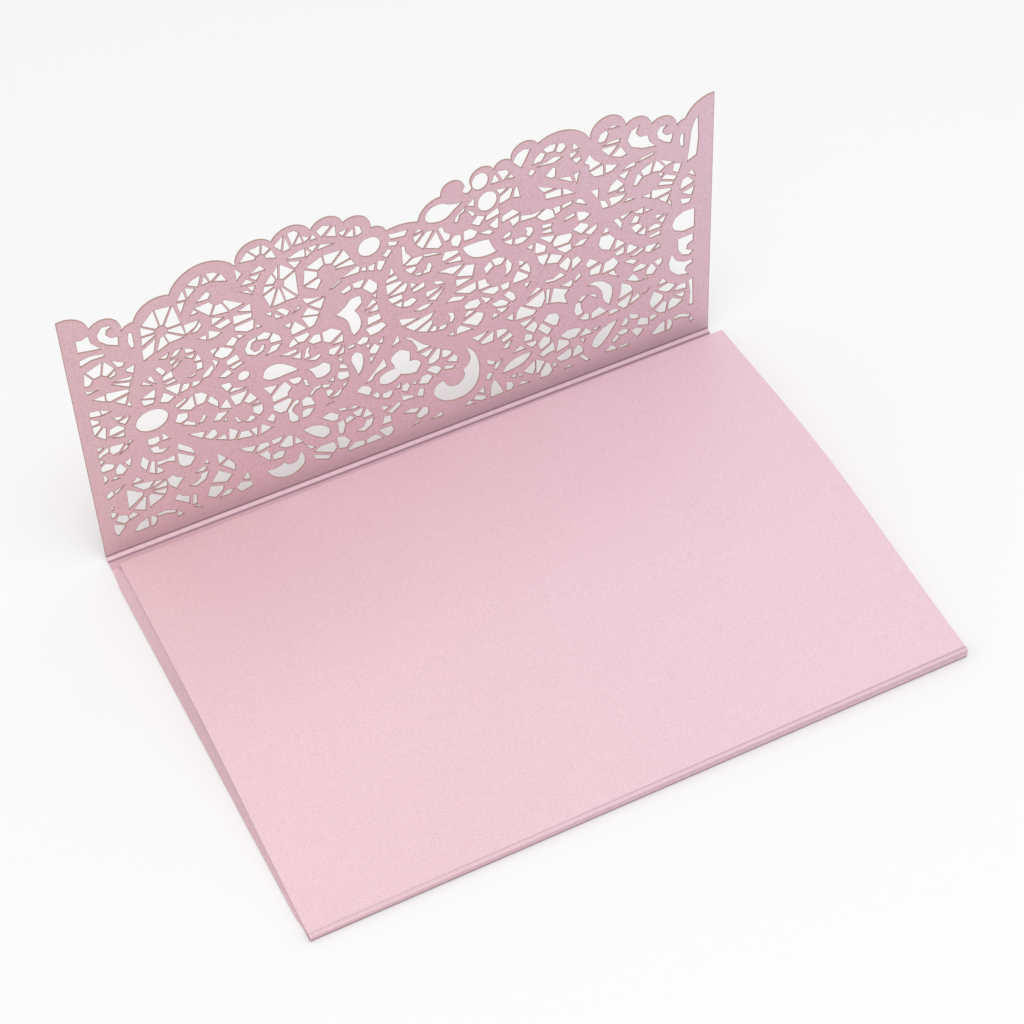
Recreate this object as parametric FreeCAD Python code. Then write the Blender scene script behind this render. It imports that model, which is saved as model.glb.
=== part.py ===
import FreeCAD, Part
import math
import os

# Laser-cut pocket fold invitation, in millimetres.
#
# One sheet of pearl card is creased four times: the lace flap stands up from a
# double-creased spine, the back panel lies flat, and a double-creased front fold
# carries the pocket front back over it.  Two side tabs, part of the same sheet,
# turn in from the back panel and are taped under the pocket front.
#
# X runs along the long side, Y from the front fold to the spine, Z is up.
# The origin is on the table, under the middle of the back panel.

# ---- driving dimensions ----
INSERT_LONG = 177.8      # the standard 7 x 5 inch card that the pocket is made for
INSERT_SHORT = 127.0
INSERT_CARD = 0.4
SIDE_PLAY = 3.1          # from the insert to each side fold
DEPTH_PLAY = 6.3         # from the front fold to the insert and on to the spine, together
INSERT_PLAY = 1.2        # the part of that between the front wall and the insert

CARD = 0.35              # thickness of the pearl card
WIDTH = INSERT_LONG + 2.0 * SIDE_PLAY     # long side of the folded pocket
DEPTH = INSERT_SHORT + DEPTH_PLAY         # short side, from the front fold to the spine

FLAP_TOP = 85.7          # height of the flap's two outer corners above its crease
FLAP_ROOT = 2.0          # bent strip at the flap's foot, part of the spine
FLAP_LEAN = 1.0          # degrees the flap leans back from upright
SPINE_BACK = 1.4         # the flap's crease is this far behind the back panel's
SPINE_RISE = 0.9         # and this far above it

FRONT_WALL = 1.65        # height of the front fold's wall at its left end
RIGHT_RISE = 1.4         # the pocket front lies this much higher at its right edge
SCORE_INSET = 1.2        # from the front fold to the pocket front's own score line
MOUTH_GAP = 3.0          # bare back panel between the pocket's mouth and the spine
SHIFT = 2.2              # the pocket front is glued this far to the right at its mouth

# The pocket front springs up between its score line and its mouth.  Its height above
# the table along its left edge, at even steps from score line to mouth.
SPRING = (1.75, 2.7, 4.2, 5.4, 5.0, 3.5, 1.75)

TAB_REACH = 12.0         # width of the taped flange of each side tab
TAB_INSET = 0.1          # the pocket front covers the tabs' folds by this much
TAB_FRONT = 2.0          # from the pocket front's score line to a tab's front end
TAB_MOUTH = 2.0          # from the pocket's mouth to a tab's back end
TAB_STATIONS = (0.0, 0.04, 0.35, 0.65, 0.96, 1.0)   # cuts along a side wall, as shares
TAB_BULGE = 0.5          # the side walls bow out past the back panel's edges
TAPE = 0.12              # thickness of the double-sided tape
TAPE_WIDTH = 6.0
TAPE_MARGIN = 2.0        # from a tab's fold and cut ends to its tape

KERF = 0.12              # the laser takes this much off all round each drawn opening
SHARP_REACH = 1.5        # kerfs that it reaches at most past a sharp corner
BAR = 0.7                # width of the thin lace bars as they are drawn
SLIVER = 0.3             # a cell's hub edge shorter than this becomes a point
OVAL_STEPS = 8           # points that an oval eye's arcs pass through
ARC_TOLERANCE = 25.0     # degrees: a span whose ends differ by less is a single arc
CORNER_TURN = 50.0       # degrees: a sharper turn in an eye's outline stays a corner
DRAWN_WIDTH = 184.0      # width of the flap that the lace below is drawn for
DRAWN_TOP = 85.7         # height of that flap's corners above its crease

# ---- the lace ----
# Points are (across, up) in the flap's own plane: across from its left edge, up from
# its crease.  The ornament is tape lace: scrolled tapes, hubs, rings and plain eyes,
# with the gaps between the tapes crossed by thin bars.

SCALLOPS = (
    # each scallop of the top edge: where it starts, and a point on its crown
    ((0.0, 85.7), (5.6, 84.4)), ((7.9, 80.3), (11.6, 81.9)), ((15.7, 76.1), (17.2, 77.3)),
    ((19.1, 77.6), (22.9, 82.0)), ((29.3, 82.3), (38.3, 88.6)), ((47.3, 84.0), (52.4, 90.0)),
    ((57.4, 87.7), (62.6, 90.6)), ((68.0, 87.0), (71.8, 89.4)), ((76.9, 85.8), (81.3, 86.2)),
    ((84.1, 80.9), (86.7, 80.3)), ((88.4, 78.1), (92.8, 78.4)), ((97.2, 77.3), (99.5, 81.3)),
    ((104.0, 82.9), (107.4, 86.7)), ((110.8, 83.4), (110.2, 82.2)), ((112.4, 83.2), (115.4, 87.8)),
    ((119.3, 85.8), (121.5, 87.7)), ((124.2, 86.8), (127.6, 91.2)), ((132.1, 89.1), (140.2, 90.3)),
    ((147.2, 84.5), (151.8, 90.0)), ((157.6, 84.9), (161.5, 86.3)), ((165.2, 82.2), (168.9, 83.5)),
    ((172.8, 78.9), (174.0, 79.8)), ((175.4, 80.1), (178.3, 83.9)),
)

# Hubs: centre, radius, and the rim points that its bars run out to, in order.  A cell
# opens between each two bars, and "|" leaves the sector before it as solid tape.
HUBS = (
    ("8.0,61.2", 2.9, "3.9,61.9 4.7,66.5 9.6,68.2 12.4,64.5 12.1,62.2 | 16.6,60.6 15.6,58.8 14.9,56.8"),
    ("13.7,63.2", 1.6, "17.4,64.1 16.6,60.9 | 11.6,67.5 15.3,65.4"),
    ("7.7,48.2", 2.3, "3.8,50.9 3.8,47.9 4.2,44.4 6.8,42.1"),
    ("14.5,18.1", 1.5, "9.0,14.3 9.4,21.9 | 10.6,22.4 17.1,21.2 19.9,20.2 19.9,17.4 19.0,14.9 14.2,12.4 | 13.4,12.0 9.8,14.0"),
    ("25.8,71.5", 1.9, "20.4,68.5 20.6,71.7 20.9,75.2 24.8,79.0 29.4,78.4 30.9,71.5 31.5,67.3 27.2,66.7 23.5,65.4"),
    ("41.4,76.0", 2.5, "39.1,79.3 35.9,76.4 | 35.2,75.4 39.1,70.8 44.1,70.2 48.3,71.2"),
    ("54.0,83.3", 1.7, "57.9,81.8 56.9,85.4 54.7,87.7 51.0,87.2 48.4,84.2"),
    ("58.0,73.2", 1.7, "62.5,67.0 59.2,66.8 55.4,66.6 53.6,71.2 54.2,74.2 56.6,77.3 58.6,79.4 62.5,75.7 62.5,67.0"),
    ("71.0,71.6", 2.7, "68.3,66.9 64.7,69.4 65.4,74.9 70.4,77.3 76.0,76.9 77.8,73.1 78.9,70.3"),
)

# Plain eyes and the cells between bars, one outline to a line, area by area.
LEFT_POST = """
4.1,77.9 5.6,77.6 7.1,78.3 7.5,75.7 9.8,72.8 4.1,74.1
13.0,79.2 11.0,79.4 9.6,77.5 10.0,75.2 12.0,73.2 14.3,72.0 14.6,74.8 12.8,75.1 11.6,76.6 12.0,78.1 13.1,78.5
4.0,71.2 7.0,71.6 10.2,70.8 10.2,70.1 7.0,70.2 4.0,69.4
17.5,74.6 18.2,74.4 18.2,69.6 17.6,69.6 17.0,72.0
9.0,57.5 14.5,56.4 14.7,55.3 9.6,54.4 8.8,55.2
5.2,57.0 8.3,57.2 8.3,55.0
10.7,53.7 14.3,54.3 13.2,51.7
3.8,53.2 6.1,52.7 6.5,50.8 3.8,51.4
8.1,44.9 10.0,45.5 11.8,43.9 11.5,43.2 7.5,42.6
3.9,37.5 6.4,39.2 6.5,37.3 4.8,36.9 3.9,36.0
7.2,39.0 11.1,38.5 9.2,36.2 7.7,35.8 7.0,37.2
3.8,32.9 5.1,33.7 7.5,32.2 6.6,31.0 3.9,31.0
8.8,32.0 10.3,29.0 8.9,27.9 7.4,28.6 7.6,30.6
5.7,13.5 7.9,12.7 8.1,10.4 6.9,9.9 4.8,11.8
4.0,10.8 7.0,9.1 4.7,6.3 4.0,7.5
9.2,5.8 11.0,8.0 13.3,8.7 13.1,5.3 10.2,5.1
14.3,9.1 15.6,8.0 15.5,6.5 14.7,5.2 13.9,5.3
15.8,8.8 18.0,9.1 21.4,7.7 20.8,7.0 18.5,7.9 16.2,8.0
"""

UPPER_LEFT = """
31.9,70.9 35.8,70.8 34.6,69.0 32.1,67.6
20.2,67.3 24.0,69.7 22.8,65.2 20.1,63.9
31.1,79.3 32.8,82.1 33.3,78.9
31.0,78.4 32.9,78.2 31.5,74.9
33.7,82.6 36.0,81.2 34.0,79.2
34.3,83.3 35.8,84.4 38.0,85.0 36.9,81.7
39.5,84.9 41.3,84.5 42.6,83.6 40.5,81.9
41.3,81.6 43.3,83.0 44.5,80.3
39.3,69.8 42.3,68.8 39.0,67.5
39.6,66.9 43.4,67.8 43.9,66.2 41.2,65.3
38.0,66.1 41.2,64.0 39.5,63.3 37.7,63.2
46.2,69.0 49.7,70.3 49.7,67.6
44.9,68.0 49.7,66.9 49.6,65.5 44.9,65.1
45.0,64.1 50.1,64.5 49.6,61.5 48.0,61.2 44.8,62.9
41.7,59.3 43.9,61.2 45.1,59.8 43.8,58.0
38.3,57.1 40.4,59.2 43.7,57.0 42.0,55.3 40.3,55.2
41.4,53.8 44.2,54.9 44.8,52.6 41.6,52.0
38.7,49.2 41.3,50.7 42.3,49.1 40.5,48.4
50.6,79.6 53.5,81.4 54.8,79.5
"""

UPPER_RINGS = """
58.0,86.0 60.6,88.3 59.7,83.9
61.1,87.4 62.0,83.4 60.3,83.1
61.9,88.6 63.6,88.6 64.8,87.4 62.9,84.2
69.6,85.9 71.3,87.0 73.5,86.1 70.8,83.7
74.6,85.9 74.6,82.2 71.9,83.4
80.0,83.4 81.2,82.4 81.6,80.3 80.1,79.9
60.8,80.3 63.5,81.4 65.8,81.8 65.7,79.1
61.1,79.3 64.5,78.2 62.9,76.6
74.7,67.6 79.5,69.8 80.2,69.0 79.7,67.6
85.4,69.1 87.4,68.2 85.9,65.6 84.9,66.4
88.8,76.6 94.2,75.9 93.2,74.3 89.5,74.9
63.9,65.6 66.0,64.6 69.9,63.8 64.9,63.3 64.3,64.3
65.3,62.6 69.8,63.2 68.4,60.0
64.9,61.8 67.9,59.1 67.5,58.4 63.2,59.7
63.0,59.2 67.6,57.9 66.0,55.2 64.8,54.9
61.0,58.7 63.9,55.0 60.0,54.5 59.7,56.5
60.4,53.4 64.0,53.5 64.4,52.2 62.8,50.8 61.4,51.2
59.9,53.0 61.1,50.9 59.0,50.3 58.6,51.5
56.3,65.0 58.0,64.8 59.9,62.9 59.0,61.7
49.9,58.3 48.0,57.8 46.8,55.6 47.2,53.4 49.4,52.1 51.4,52.9 52.0,54.7 51.3,54.7 50.4,53.3 49.0,53.4 48.0,55.0 48.7,56.8 49.9,57.3
50.4,58.3 52.5,58.9 54.2,57.8 53.2,56.3 50.5,57.0
54.8,57.5 56.2,56.0 56.7,54.1 54.0,54.4 53.7,56.1
54.0,53.3 56.6,53.1 55.0,51.3 51.9,50.9 53.2,52.0
"""

MIDDLE_LEFT = """
34.8,52.0 37.3,54.3 37.6,52.7 36.0,51.0 34.4,50.8
28.0,48.8 29.2,51.3 30.9,50.8 30.0,49.1
24.0,52.3 28.5,52.0 27.2,48.4
23.6,50.8 26.2,48.1 24.4,47.1 22.3,48.0
24.1,54.7 24.2,56.2 26.5,57.2 26.7,55.0
22.4,59.7 23.6,60.0 25.0,57.6 24.2,56.8
17.5,51.5 21.6,53.2 21.0,50.2
17.6,50.8 20.8,49.7 20.4,48.6 18.1,48.7
26.7,43.2 29.0,44.6 30.9,46.3 31.0,42.2 29.9,41.6
31.6,46.6 33.5,46.2 34.9,44.6 33.7,42.4 31.8,42.3
34.7,42.3 35.7,43.8 37.4,41.0 37.2,39.2
26.3,41.7 28.9,41.0 28.6,39.0 26.7,38.2 25.3,39.3
28.2,38.2 30.4,36.7 30.4,35.6 27.1,37.4
37.7,38.4 39.8,40.8 40.7,37.0
35.5,34.7 36.9,36.9 39.8,36.3 37.2,34.2
40.9,41.2 45.9,41.1 43.2,37.4 42.1,37.4
46.3,39.9 48.0,37.0 45.8,36.3 44.4,37.7
46.6,34.4 49.2,34.3 49.1,32.0 48.0,31.0 46.6,32.6
40.7,42.5 41.9,43.8 45.9,42.3
38.8,46.3 41.1,46.2 41.7,44.4 40.4,43.3
"""

LOWER_LEFT = """
17.5,33.4 19.5,33.2 19.7,31.8 22.4,31.3 20.4,30.3 18.3,31.2
17.4,36.7 20.3,36.6 20.2,34.6 19.0,34.1 17.2,34.7
15.0,31.5 16.5,29.0 15.3,26.1 14.1,28.6
17.2,28.6 17.9,28.4 17.5,23.9 16.0,25.0
18.7,27.7 21.0,27.4 23.3,27.9 23.4,25.7 21.3,26.5 18.9,26.3
25.0,31.5 28.2,28.2 28.9,25.7 24.8,29.4
24.4,28.1 28.9,24.5 27.3,22.2 25.6,22.4 24.5,23.6
20.5,20.2 22.0,21.0 23.0,19.6 24.9,18.7 23.6,17.3 22.5,15.7 21.0,17.6
25.9,14.9 27.8,14.9 29.4,16.1 29.9,17.6 31.8,17.6 30.6,14.9 28.0,13.8
35.0,22.6 37.2,19.8 35.1,18.5
35.8,17.9 37.7,19.0 39.2,16.7 39.1,14.3
34.6,16.3 38.1,13.0 36.3,11.2 32.2,12.7
31.7,11.7 35.2,10.2 34.9,8.6 32.7,6.9 30.5,8.4
33.6,6.2 36.2,8.1 37.8,7.6 36.8,6.2
38.7,7.4 40.3,9.0 42.9,7.9 43.3,6.1 40.2,5.4
21.4,11.8 22.6,13.3 23.8,11.8 25.6,11.2 25.1,8.6
28.1,33.4 32.7,32.2 31.6,30.2
32.4,30.0 34.5,31.8 35.6,31.4 35.8,29.4 34.2,28.5
39.3,30.1 41.6,28.0 40.3,25.6 38.9,25.9
41.2,25.1 42.4,27.2 44.2,26.9 45.3,24.2
48.2,27.3 51.0,24.8 47.7,23.7
41.2,21.5 45.9,20.2 44.7,18.5 43.2,19.3
46.9,20.3 49.0,20.1 49.7,18.3 45.5,17.6
46.3,16.6 48.6,17.0 49.5,14.8 49.1,12.8
"""

LOWER_MIDDLE = """
77.2,43.5 79.2,44.9 80.7,43.9 80.1,42.5 78.3,42.4
70.9,33.6 71.2,35.7 74.0,34.6 74.1,32.6 72.0,32.4
57.2,39.5 60.1,39.2 61.0,38.2 60.0,37.0 58.6,37.2
50.1,39.9 54.1,39.1 51.9,36.7
54.9,38.4 56.2,39.2 57.7,36.3 56.5,35.0 56.4,33.9 52.4,33.4 52.2,35.7
52.2,32.4 56.6,32.9 57.5,31.9 55.5,28.8 54.0,28.7 52.1,30.6
58.2,31.2 59.4,31.2 59.2,30.0 57.8,29.4 57.0,27.8 57.8,26.2 58.6,25.2 58.5,23.6 57.0,23.8 56.1,25.0 56.2,27.0 56.0,28.7
60.3,30.3 61.4,31.1 62.7,30.3 63.6,27.2 60.3,28.1
60.0,26.4 61.4,26.8 63.2,26.0 61.8,24.1 59.8,23.9
49.8,28.1 51.5,29.7 52.3,28.2 51.6,26.5
50.4,20.1 53.9,20.0 52.3,18.3 50.7,18.4
52.3,16.9 55.0,19.5 56.3,19.0 56.0,15.2 54.1,15.4
50.2,14.5 52.2,15.1 53.6,14.2 52.8,12.4 50.2,12.5
65.0,21.4 67.8,22.2 70.0,20.2 69.6,18.5 68.2,18.6
73.9,19.0 77.3,19.6 76.1,16.8 75.3,17.1
71.8,17.6 73.2,18.3 74.3,16.9 72.1,15.8
78.1,18.7 79.7,15.5 77.2,15.6 77.0,16.4
74.6,11.8 76.9,12.5 77.8,14.4 79.8,14.4 79.0,11.9 76.9,10.6
69.5,17.3 71.2,17.6 71.4,15.2 70.7,12.8 69.7,12.9
61.9,10.0 63.8,11.1 67.6,10.9 68.3,8.2 67.3,7.0
61.8,8.7 66.7,6.2 65.6,5.3 62.0,7.0
68.8,12.1 70.9,11.4 72.5,8.9 71.2,7.0 69.2,7.5
71.8,6.2 73.8,7.8 76.4,7.2 76.4,5.4 71.9,5.4
77.3,7.1 79.9,7.8 82.0,5.4 77.3,5.4
81.0,8.9 84.8,8.8 85.3,6.8 84.2,5.4 83.2,5.4
82.3,10.4 83.0,13.2 84.8,12.7 84.9,10.3
84.0,14.2 87.5,16.7 88.1,15.4 85.4,13.5
88.6,11.6 90.8,12.4 93.5,11.4 92.2,10.2 90.6,11.0
92.2,8.8 94.6,11.2 96.0,10.4 95.8,8.2 93.6,7.4
88.6,18.5 91.6,17.3 92.1,16.2 89.0,16.4
93.0,16.3 93.9,18.6 95.2,18.2 94.8,15.4
83.2,21.8 85.4,22.1 86.1,21.0 85.1,19.5 83.2,20.1
89.1,22.2 90.5,22.5 91.1,20.9 90.2,19.3 88.9,20.4
93.9,20.4 95.0,22.9 96.6,22.9 98.0,21.4 96.5,19.5
78.6,28.1 84.4,34.4 84.9,31.3 81.6,30.1 80.3,28.2
76.1,26.6 77.6,27.5 79.7,26.2 80.0,24.4 79.2,23.2 76.5,25.4
80.6,39.2 82.2,41.0 83.6,39.2 82.4,37.4 80.8,38.0
90.4,39.5 92.4,38.4 96.0,34.3 98.2,32.9 94.3,32.4 94.2,34.5 93.2,36.9
"""

MIDDLE = """
55.8,49.0 60.6,49.2 60.3,48.1 58.3,47.8
62.2,44.6 63.3,48.2 64.2,48.3 63.5,46.5 63.8,44.9
63.0,43.8 66.6,44.6 66.8,43.7 65.4,42.9
64.0,50.2 65.7,51.8 67.3,51.4 67.4,48.7 65.4,48.8
68.1,51.6 70.5,52.0 73.6,49.6 69.9,47.1 68.3,48.3
73.7,48.7 73.4,46.0 70.5,46.1
69.5,44.9 73.1,45.0 70.8,42.3 69.2,43.3
74.4,63.2 76.9,64.4 77.1,62.7 75.0,62.2
77.8,64.5 81.3,64.6 79.8,62.2 78.2,62.8
82.4,64.1 84.5,61.5 84.2,59.3 82.9,58.9 80.5,61.7
80.3,53.8 82.9,56.7 83.8,55.2
81.0,51.0 84.3,51.0 84.6,49.0 80.9,48.3
80.2,47.3 84.7,47.7 86.0,46.1 84.0,44.7 81.5,44.4
87.3,61.6 89.7,62.1 90.3,60.6 87.0,60.4
87.0,59.7 90.9,59.6 91.6,58.8 87.1,56.2
87.4,55.4 92.3,58.3 92.9,57.4 92.0,55.5
87.3,54.7 91.0,54.8 91.2,53.2 88.3,52.7
92.2,70.9 92.9,70.7 93.1,68.4 94.6,66.2 92.2,64.5
93.0,64.4 95.1,65.7 97.5,65.5 97.7,64.7 96.0,63.2 93.2,63.9
92.5,62.8 95.2,62.8 95.7,61.8 94.3,60.7
97.7,59.2 99.4,59.1 100.1,60.7 99.7,62.3 99.1,62.0 98.7,60.4 97.8,59.9
96.4,69.8 99.4,73.0 101.2,72.7 98.1,67.9
98.8,67.7 102.0,71.8 103.4,66.7 102.5,66.0
102.8,72.6 103.8,72.7 104.3,70.7 106.1,69.2 105.4,67.6 104.4,67.6
106.2,67.2 107.2,68.4 108.8,67.9 109.0,66.2 108.0,64.2 106.3,65.2
103.2,61.7 104.2,63.9 107.8,63.0 108.0,61.9 103.7,60.9
103.9,59.9 108.2,60.8 108.7,59.0
101.6,57.8 105.0,58.0 109.4,57.5 106.0,55.3 104.3,56.6
94.4,55.0 97.8,56.4 97.6,54.6 94.5,53.9
91.5,51.8 93.9,52.3 95.2,50.9 93.2,49.7 91.4,50.1
98.0,52.4 102.9,52.6 98.2,50.5
98.4,49.4 103.5,51.9 100.6,48.6
94.2,47.5 97.2,48.3 99.6,47.9 97.9,46.9 96.0,46.8
"""

UPPER_RIGHT = """
120.3,84.6 122.6,84.2 123.5,82.9 121.9,81.1
120.8,75.9 123.8,77.7 124.2,76.9 123.3,74.3 120.4,73.5
125.1,77.0 125.7,77.3 126.3,73.6 124.5,74.2
112.2,70.3 114.0,72.2 116.1,71.1 114.3,68.8
116.6,71.1 119.8,72.6 120.2,70.3 116.2,69.5
109.8,68.6 111.5,68.8 113.8,66.8 112.7,65.3 109.9,65.3
114.2,66.1 117.0,66.2 118.2,64.9 117.2,64.5
117.2,67.6 119.9,69.4 119.7,65.8 118.9,65.8
120.8,67.0 121.2,69.2 124.0,70.2 126.2,68.2
123.2,66.9 126.0,67.3 125.6,65.3 124.1,64.4
126.5,67.0 129.6,66.0 133.0,66.5 130.6,64.9 126.7,65.1
124.5,59.5 126.4,59.6 128.4,58.5 126.5,57.5 124.5,57.7
127.5,62.4 129.3,61.9 129.8,60.3 128.8,58.9 127.7,59.7 128.2,61.0
131.0,64.6 134.0,66.3 135.6,65.0 136.3,62.2 133.2,62.3
131.3,57.3 136.2,56.0 134.9,53.9
135.6,53.7 136.8,55.3 140.8,54.8 141.2,53.2 140.2,51.7 136.0,51.9
130.5,55.8 133.5,53.2 133.0,51.5 130.2,52.0
124.8,85.9 126.0,88.0 127.8,88.8 129.7,88.1 127.1,83.2
130.4,82.7 131.3,84.6 132.7,85.8 134.0,84.8 133.0,82.9
133.5,86.5 135.5,87.2 137.3,86.8 136.5,84.8 134.8,84.9
138.0,86.6 139.6,86.2 139.9,84.6 138.6,83.5 137.2,84.3
131.2,81.4 134.5,82.0 136.6,82.8 138.9,81.9 136.5,80.9 133.5,81.3
134.0,77.4 136.0,79.3 136.9,79.1 136.6,76.1 135.8,76.0
145.4,77.0 146.8,79.3 148.0,77.0 150.3,75.0 146.8,73.9 146.9,75.9
147.0,73.3 150.8,74.2 150.8,70.9 148.5,71.3
151.6,74.1 155.2,72.6 153.6,71.3 151.7,71.0
137.5,75.1 141.0,74.4 141.8,72.2
131.5,74.8 136.5,72.2 133.5,72.1
133.8,71.3 138.3,71.4 138.3,68.9 134.0,69.6
139.0,71.2 142.4,68.2 139.2,68.8
135.9,65.7 137.9,65.6 137.9,63.7 136.7,63.2
147.2,66.8 149.3,66.7 149.2,63.4
149.8,62.3 151.3,61.6 152.3,59.2 150.7,59.3
142.9,61.3 145.0,60.6 146.8,58.9 145.2,57.8 143.4,57.9
141.6,55.7 143.9,57.0 146.0,55.8 146.2,54.6 144.2,53.2
145.1,53.0 148.8,54.8 148.6,53.0 147.0,51.6
149.4,83.0 150.2,84.8 151.9,85.5 152.3,84.0 151.5,82.1 150.2,82.0
150.4,79.7 155.3,79.3 152.7,76.7
153.4,76.1 156.0,78.2 157.7,75.1 156.3,74.8
161.7,83.4 159.3,82.3 158.2,79.8 159.4,76.9 162.6,75.2 166.4,74.4 164.6,76.5 164.0,79.0 161.8,79.2 160.6,80.6 160.9,82.2
169.9,80.0 168.0,80.3 166.9,78.8 167.4,76.6 169.3,74.8 170.9,73.8 171.4,75.0 171.6,76.6 169.8,76.6 168.5,77.8 168.8,79.3
174.2,75.2 174.9,75.0 174.9,71.0 174.2,71.3 173.8,73.4
179.2,79.4 178.3,78.3 177.4,75.5 176.8,70.0 176.2,65.2 178.9,66.4 179.4,72.0
156.3,70.0 158.5,71.2 160.1,71.6 160.3,70.2
155.5,68.7 158.8,69.4 157.3,66.9
152.2,64.0 153.0,66.1 154.9,67.6 156.9,65.0 155.0,64.0
152.6,62.1 157.7,61.4 156.0,59.8 153.3,59.0
"""

RIGHT_POST = """
167.4,22.4 170.7,23.4 173.2,21.8 171.6,20.2 170.2,20.3
172.7,19.6 174.2,21.1 176.4,21.2 176.6,19.0
171.3,16.2 172.3,17.1 175.5,15.0 173.3,13.4 170.9,13.1
166.7,14.8 169.4,17.0 170.6,16.4 170.0,12.8 168.7,13.0
166.0,15.8 165.0,18.6 166.3,22.1 169.4,19.3 168.9,17.9
159.9,63.5 161.2,67.0 162.5,65.2 160.9,63.2
162.2,67.7 165.9,69.3 164.9,65.5 163.1,65.4
166.8,69.2 169.2,66.0 168.2,65.2 165.6,65.7
172.2,65.9 174.4,65.3 173.5,62.4 171.9,63.6
168.3,62.2 169.7,63.2 173.0,61.4 172.4,60.4
167.3,60.4 168.1,61.3 172.0,59.8 171.7,59.0
165.7,59.3 171.2,57.9 171.3,57.0 166.4,56.1 165.4,57.0
167.6,55.5 171.0,56.0 169.9,53.4
174.2,56.0 174.9,59.2 176.4,59.7 178.3,57.2
174.8,54.6 178.5,55.6 177.7,52.8
174.3,52.6 177.6,51.7 177.1,50.4 175.2,50.5
178.7,47.6 175.5,47.8 172.8,46.4 171.9,44.0 172.9,41.9 175.5,40.7 178.7,41.0
153.9,53.8 155.0,53.9 156.3,51.5 156.2,49.8
159.1,50.3 160.3,52.5 161.8,51.6 161.1,49.9
159.3,48.8 161.1,49.4 162.7,47.9 160.8,46.3
164.4,45.2 165.0,46.6 166.9,47.0 168.6,45.3
164.6,43.4 168.1,44.0 168.1,42.8 165.4,42.6
173.9,38.3 178.5,38.5 178.4,36.0 176.8,35.2 176.4,33.4 178.5,32.4 177.5,31.3 175.3,32.0 174.0,34.6
171.8,33.4 173.2,30.6 175.6,29.2 178.5,28.9 178.3,27.9 176.6,27.3 176.1,25.6 177.2,24.2 174.2,24.9 171.7,27.5 171.0,30.4
177.5,21.5 178.6,22.0 178.9,12.0 177.8,12.2 178.1,17.0
165.7,6.0 168.3,8.7 169.9,9.5 169.9,5.4 167.3,5.3
171.0,9.6 172.1,8.5 172.3,6.8 171.6,5.4 170.6,5.5
172.7,9.3 174.8,9.8 178.1,8.2 177.7,7.4 175.4,8.4 172.9,8.6
158.8,20.6 159.6,22.6 161.7,23.9 161.8,22.0
154.7,22.5 159.6,24.6 157.8,20.2 156.8,20.2
"""

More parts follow.
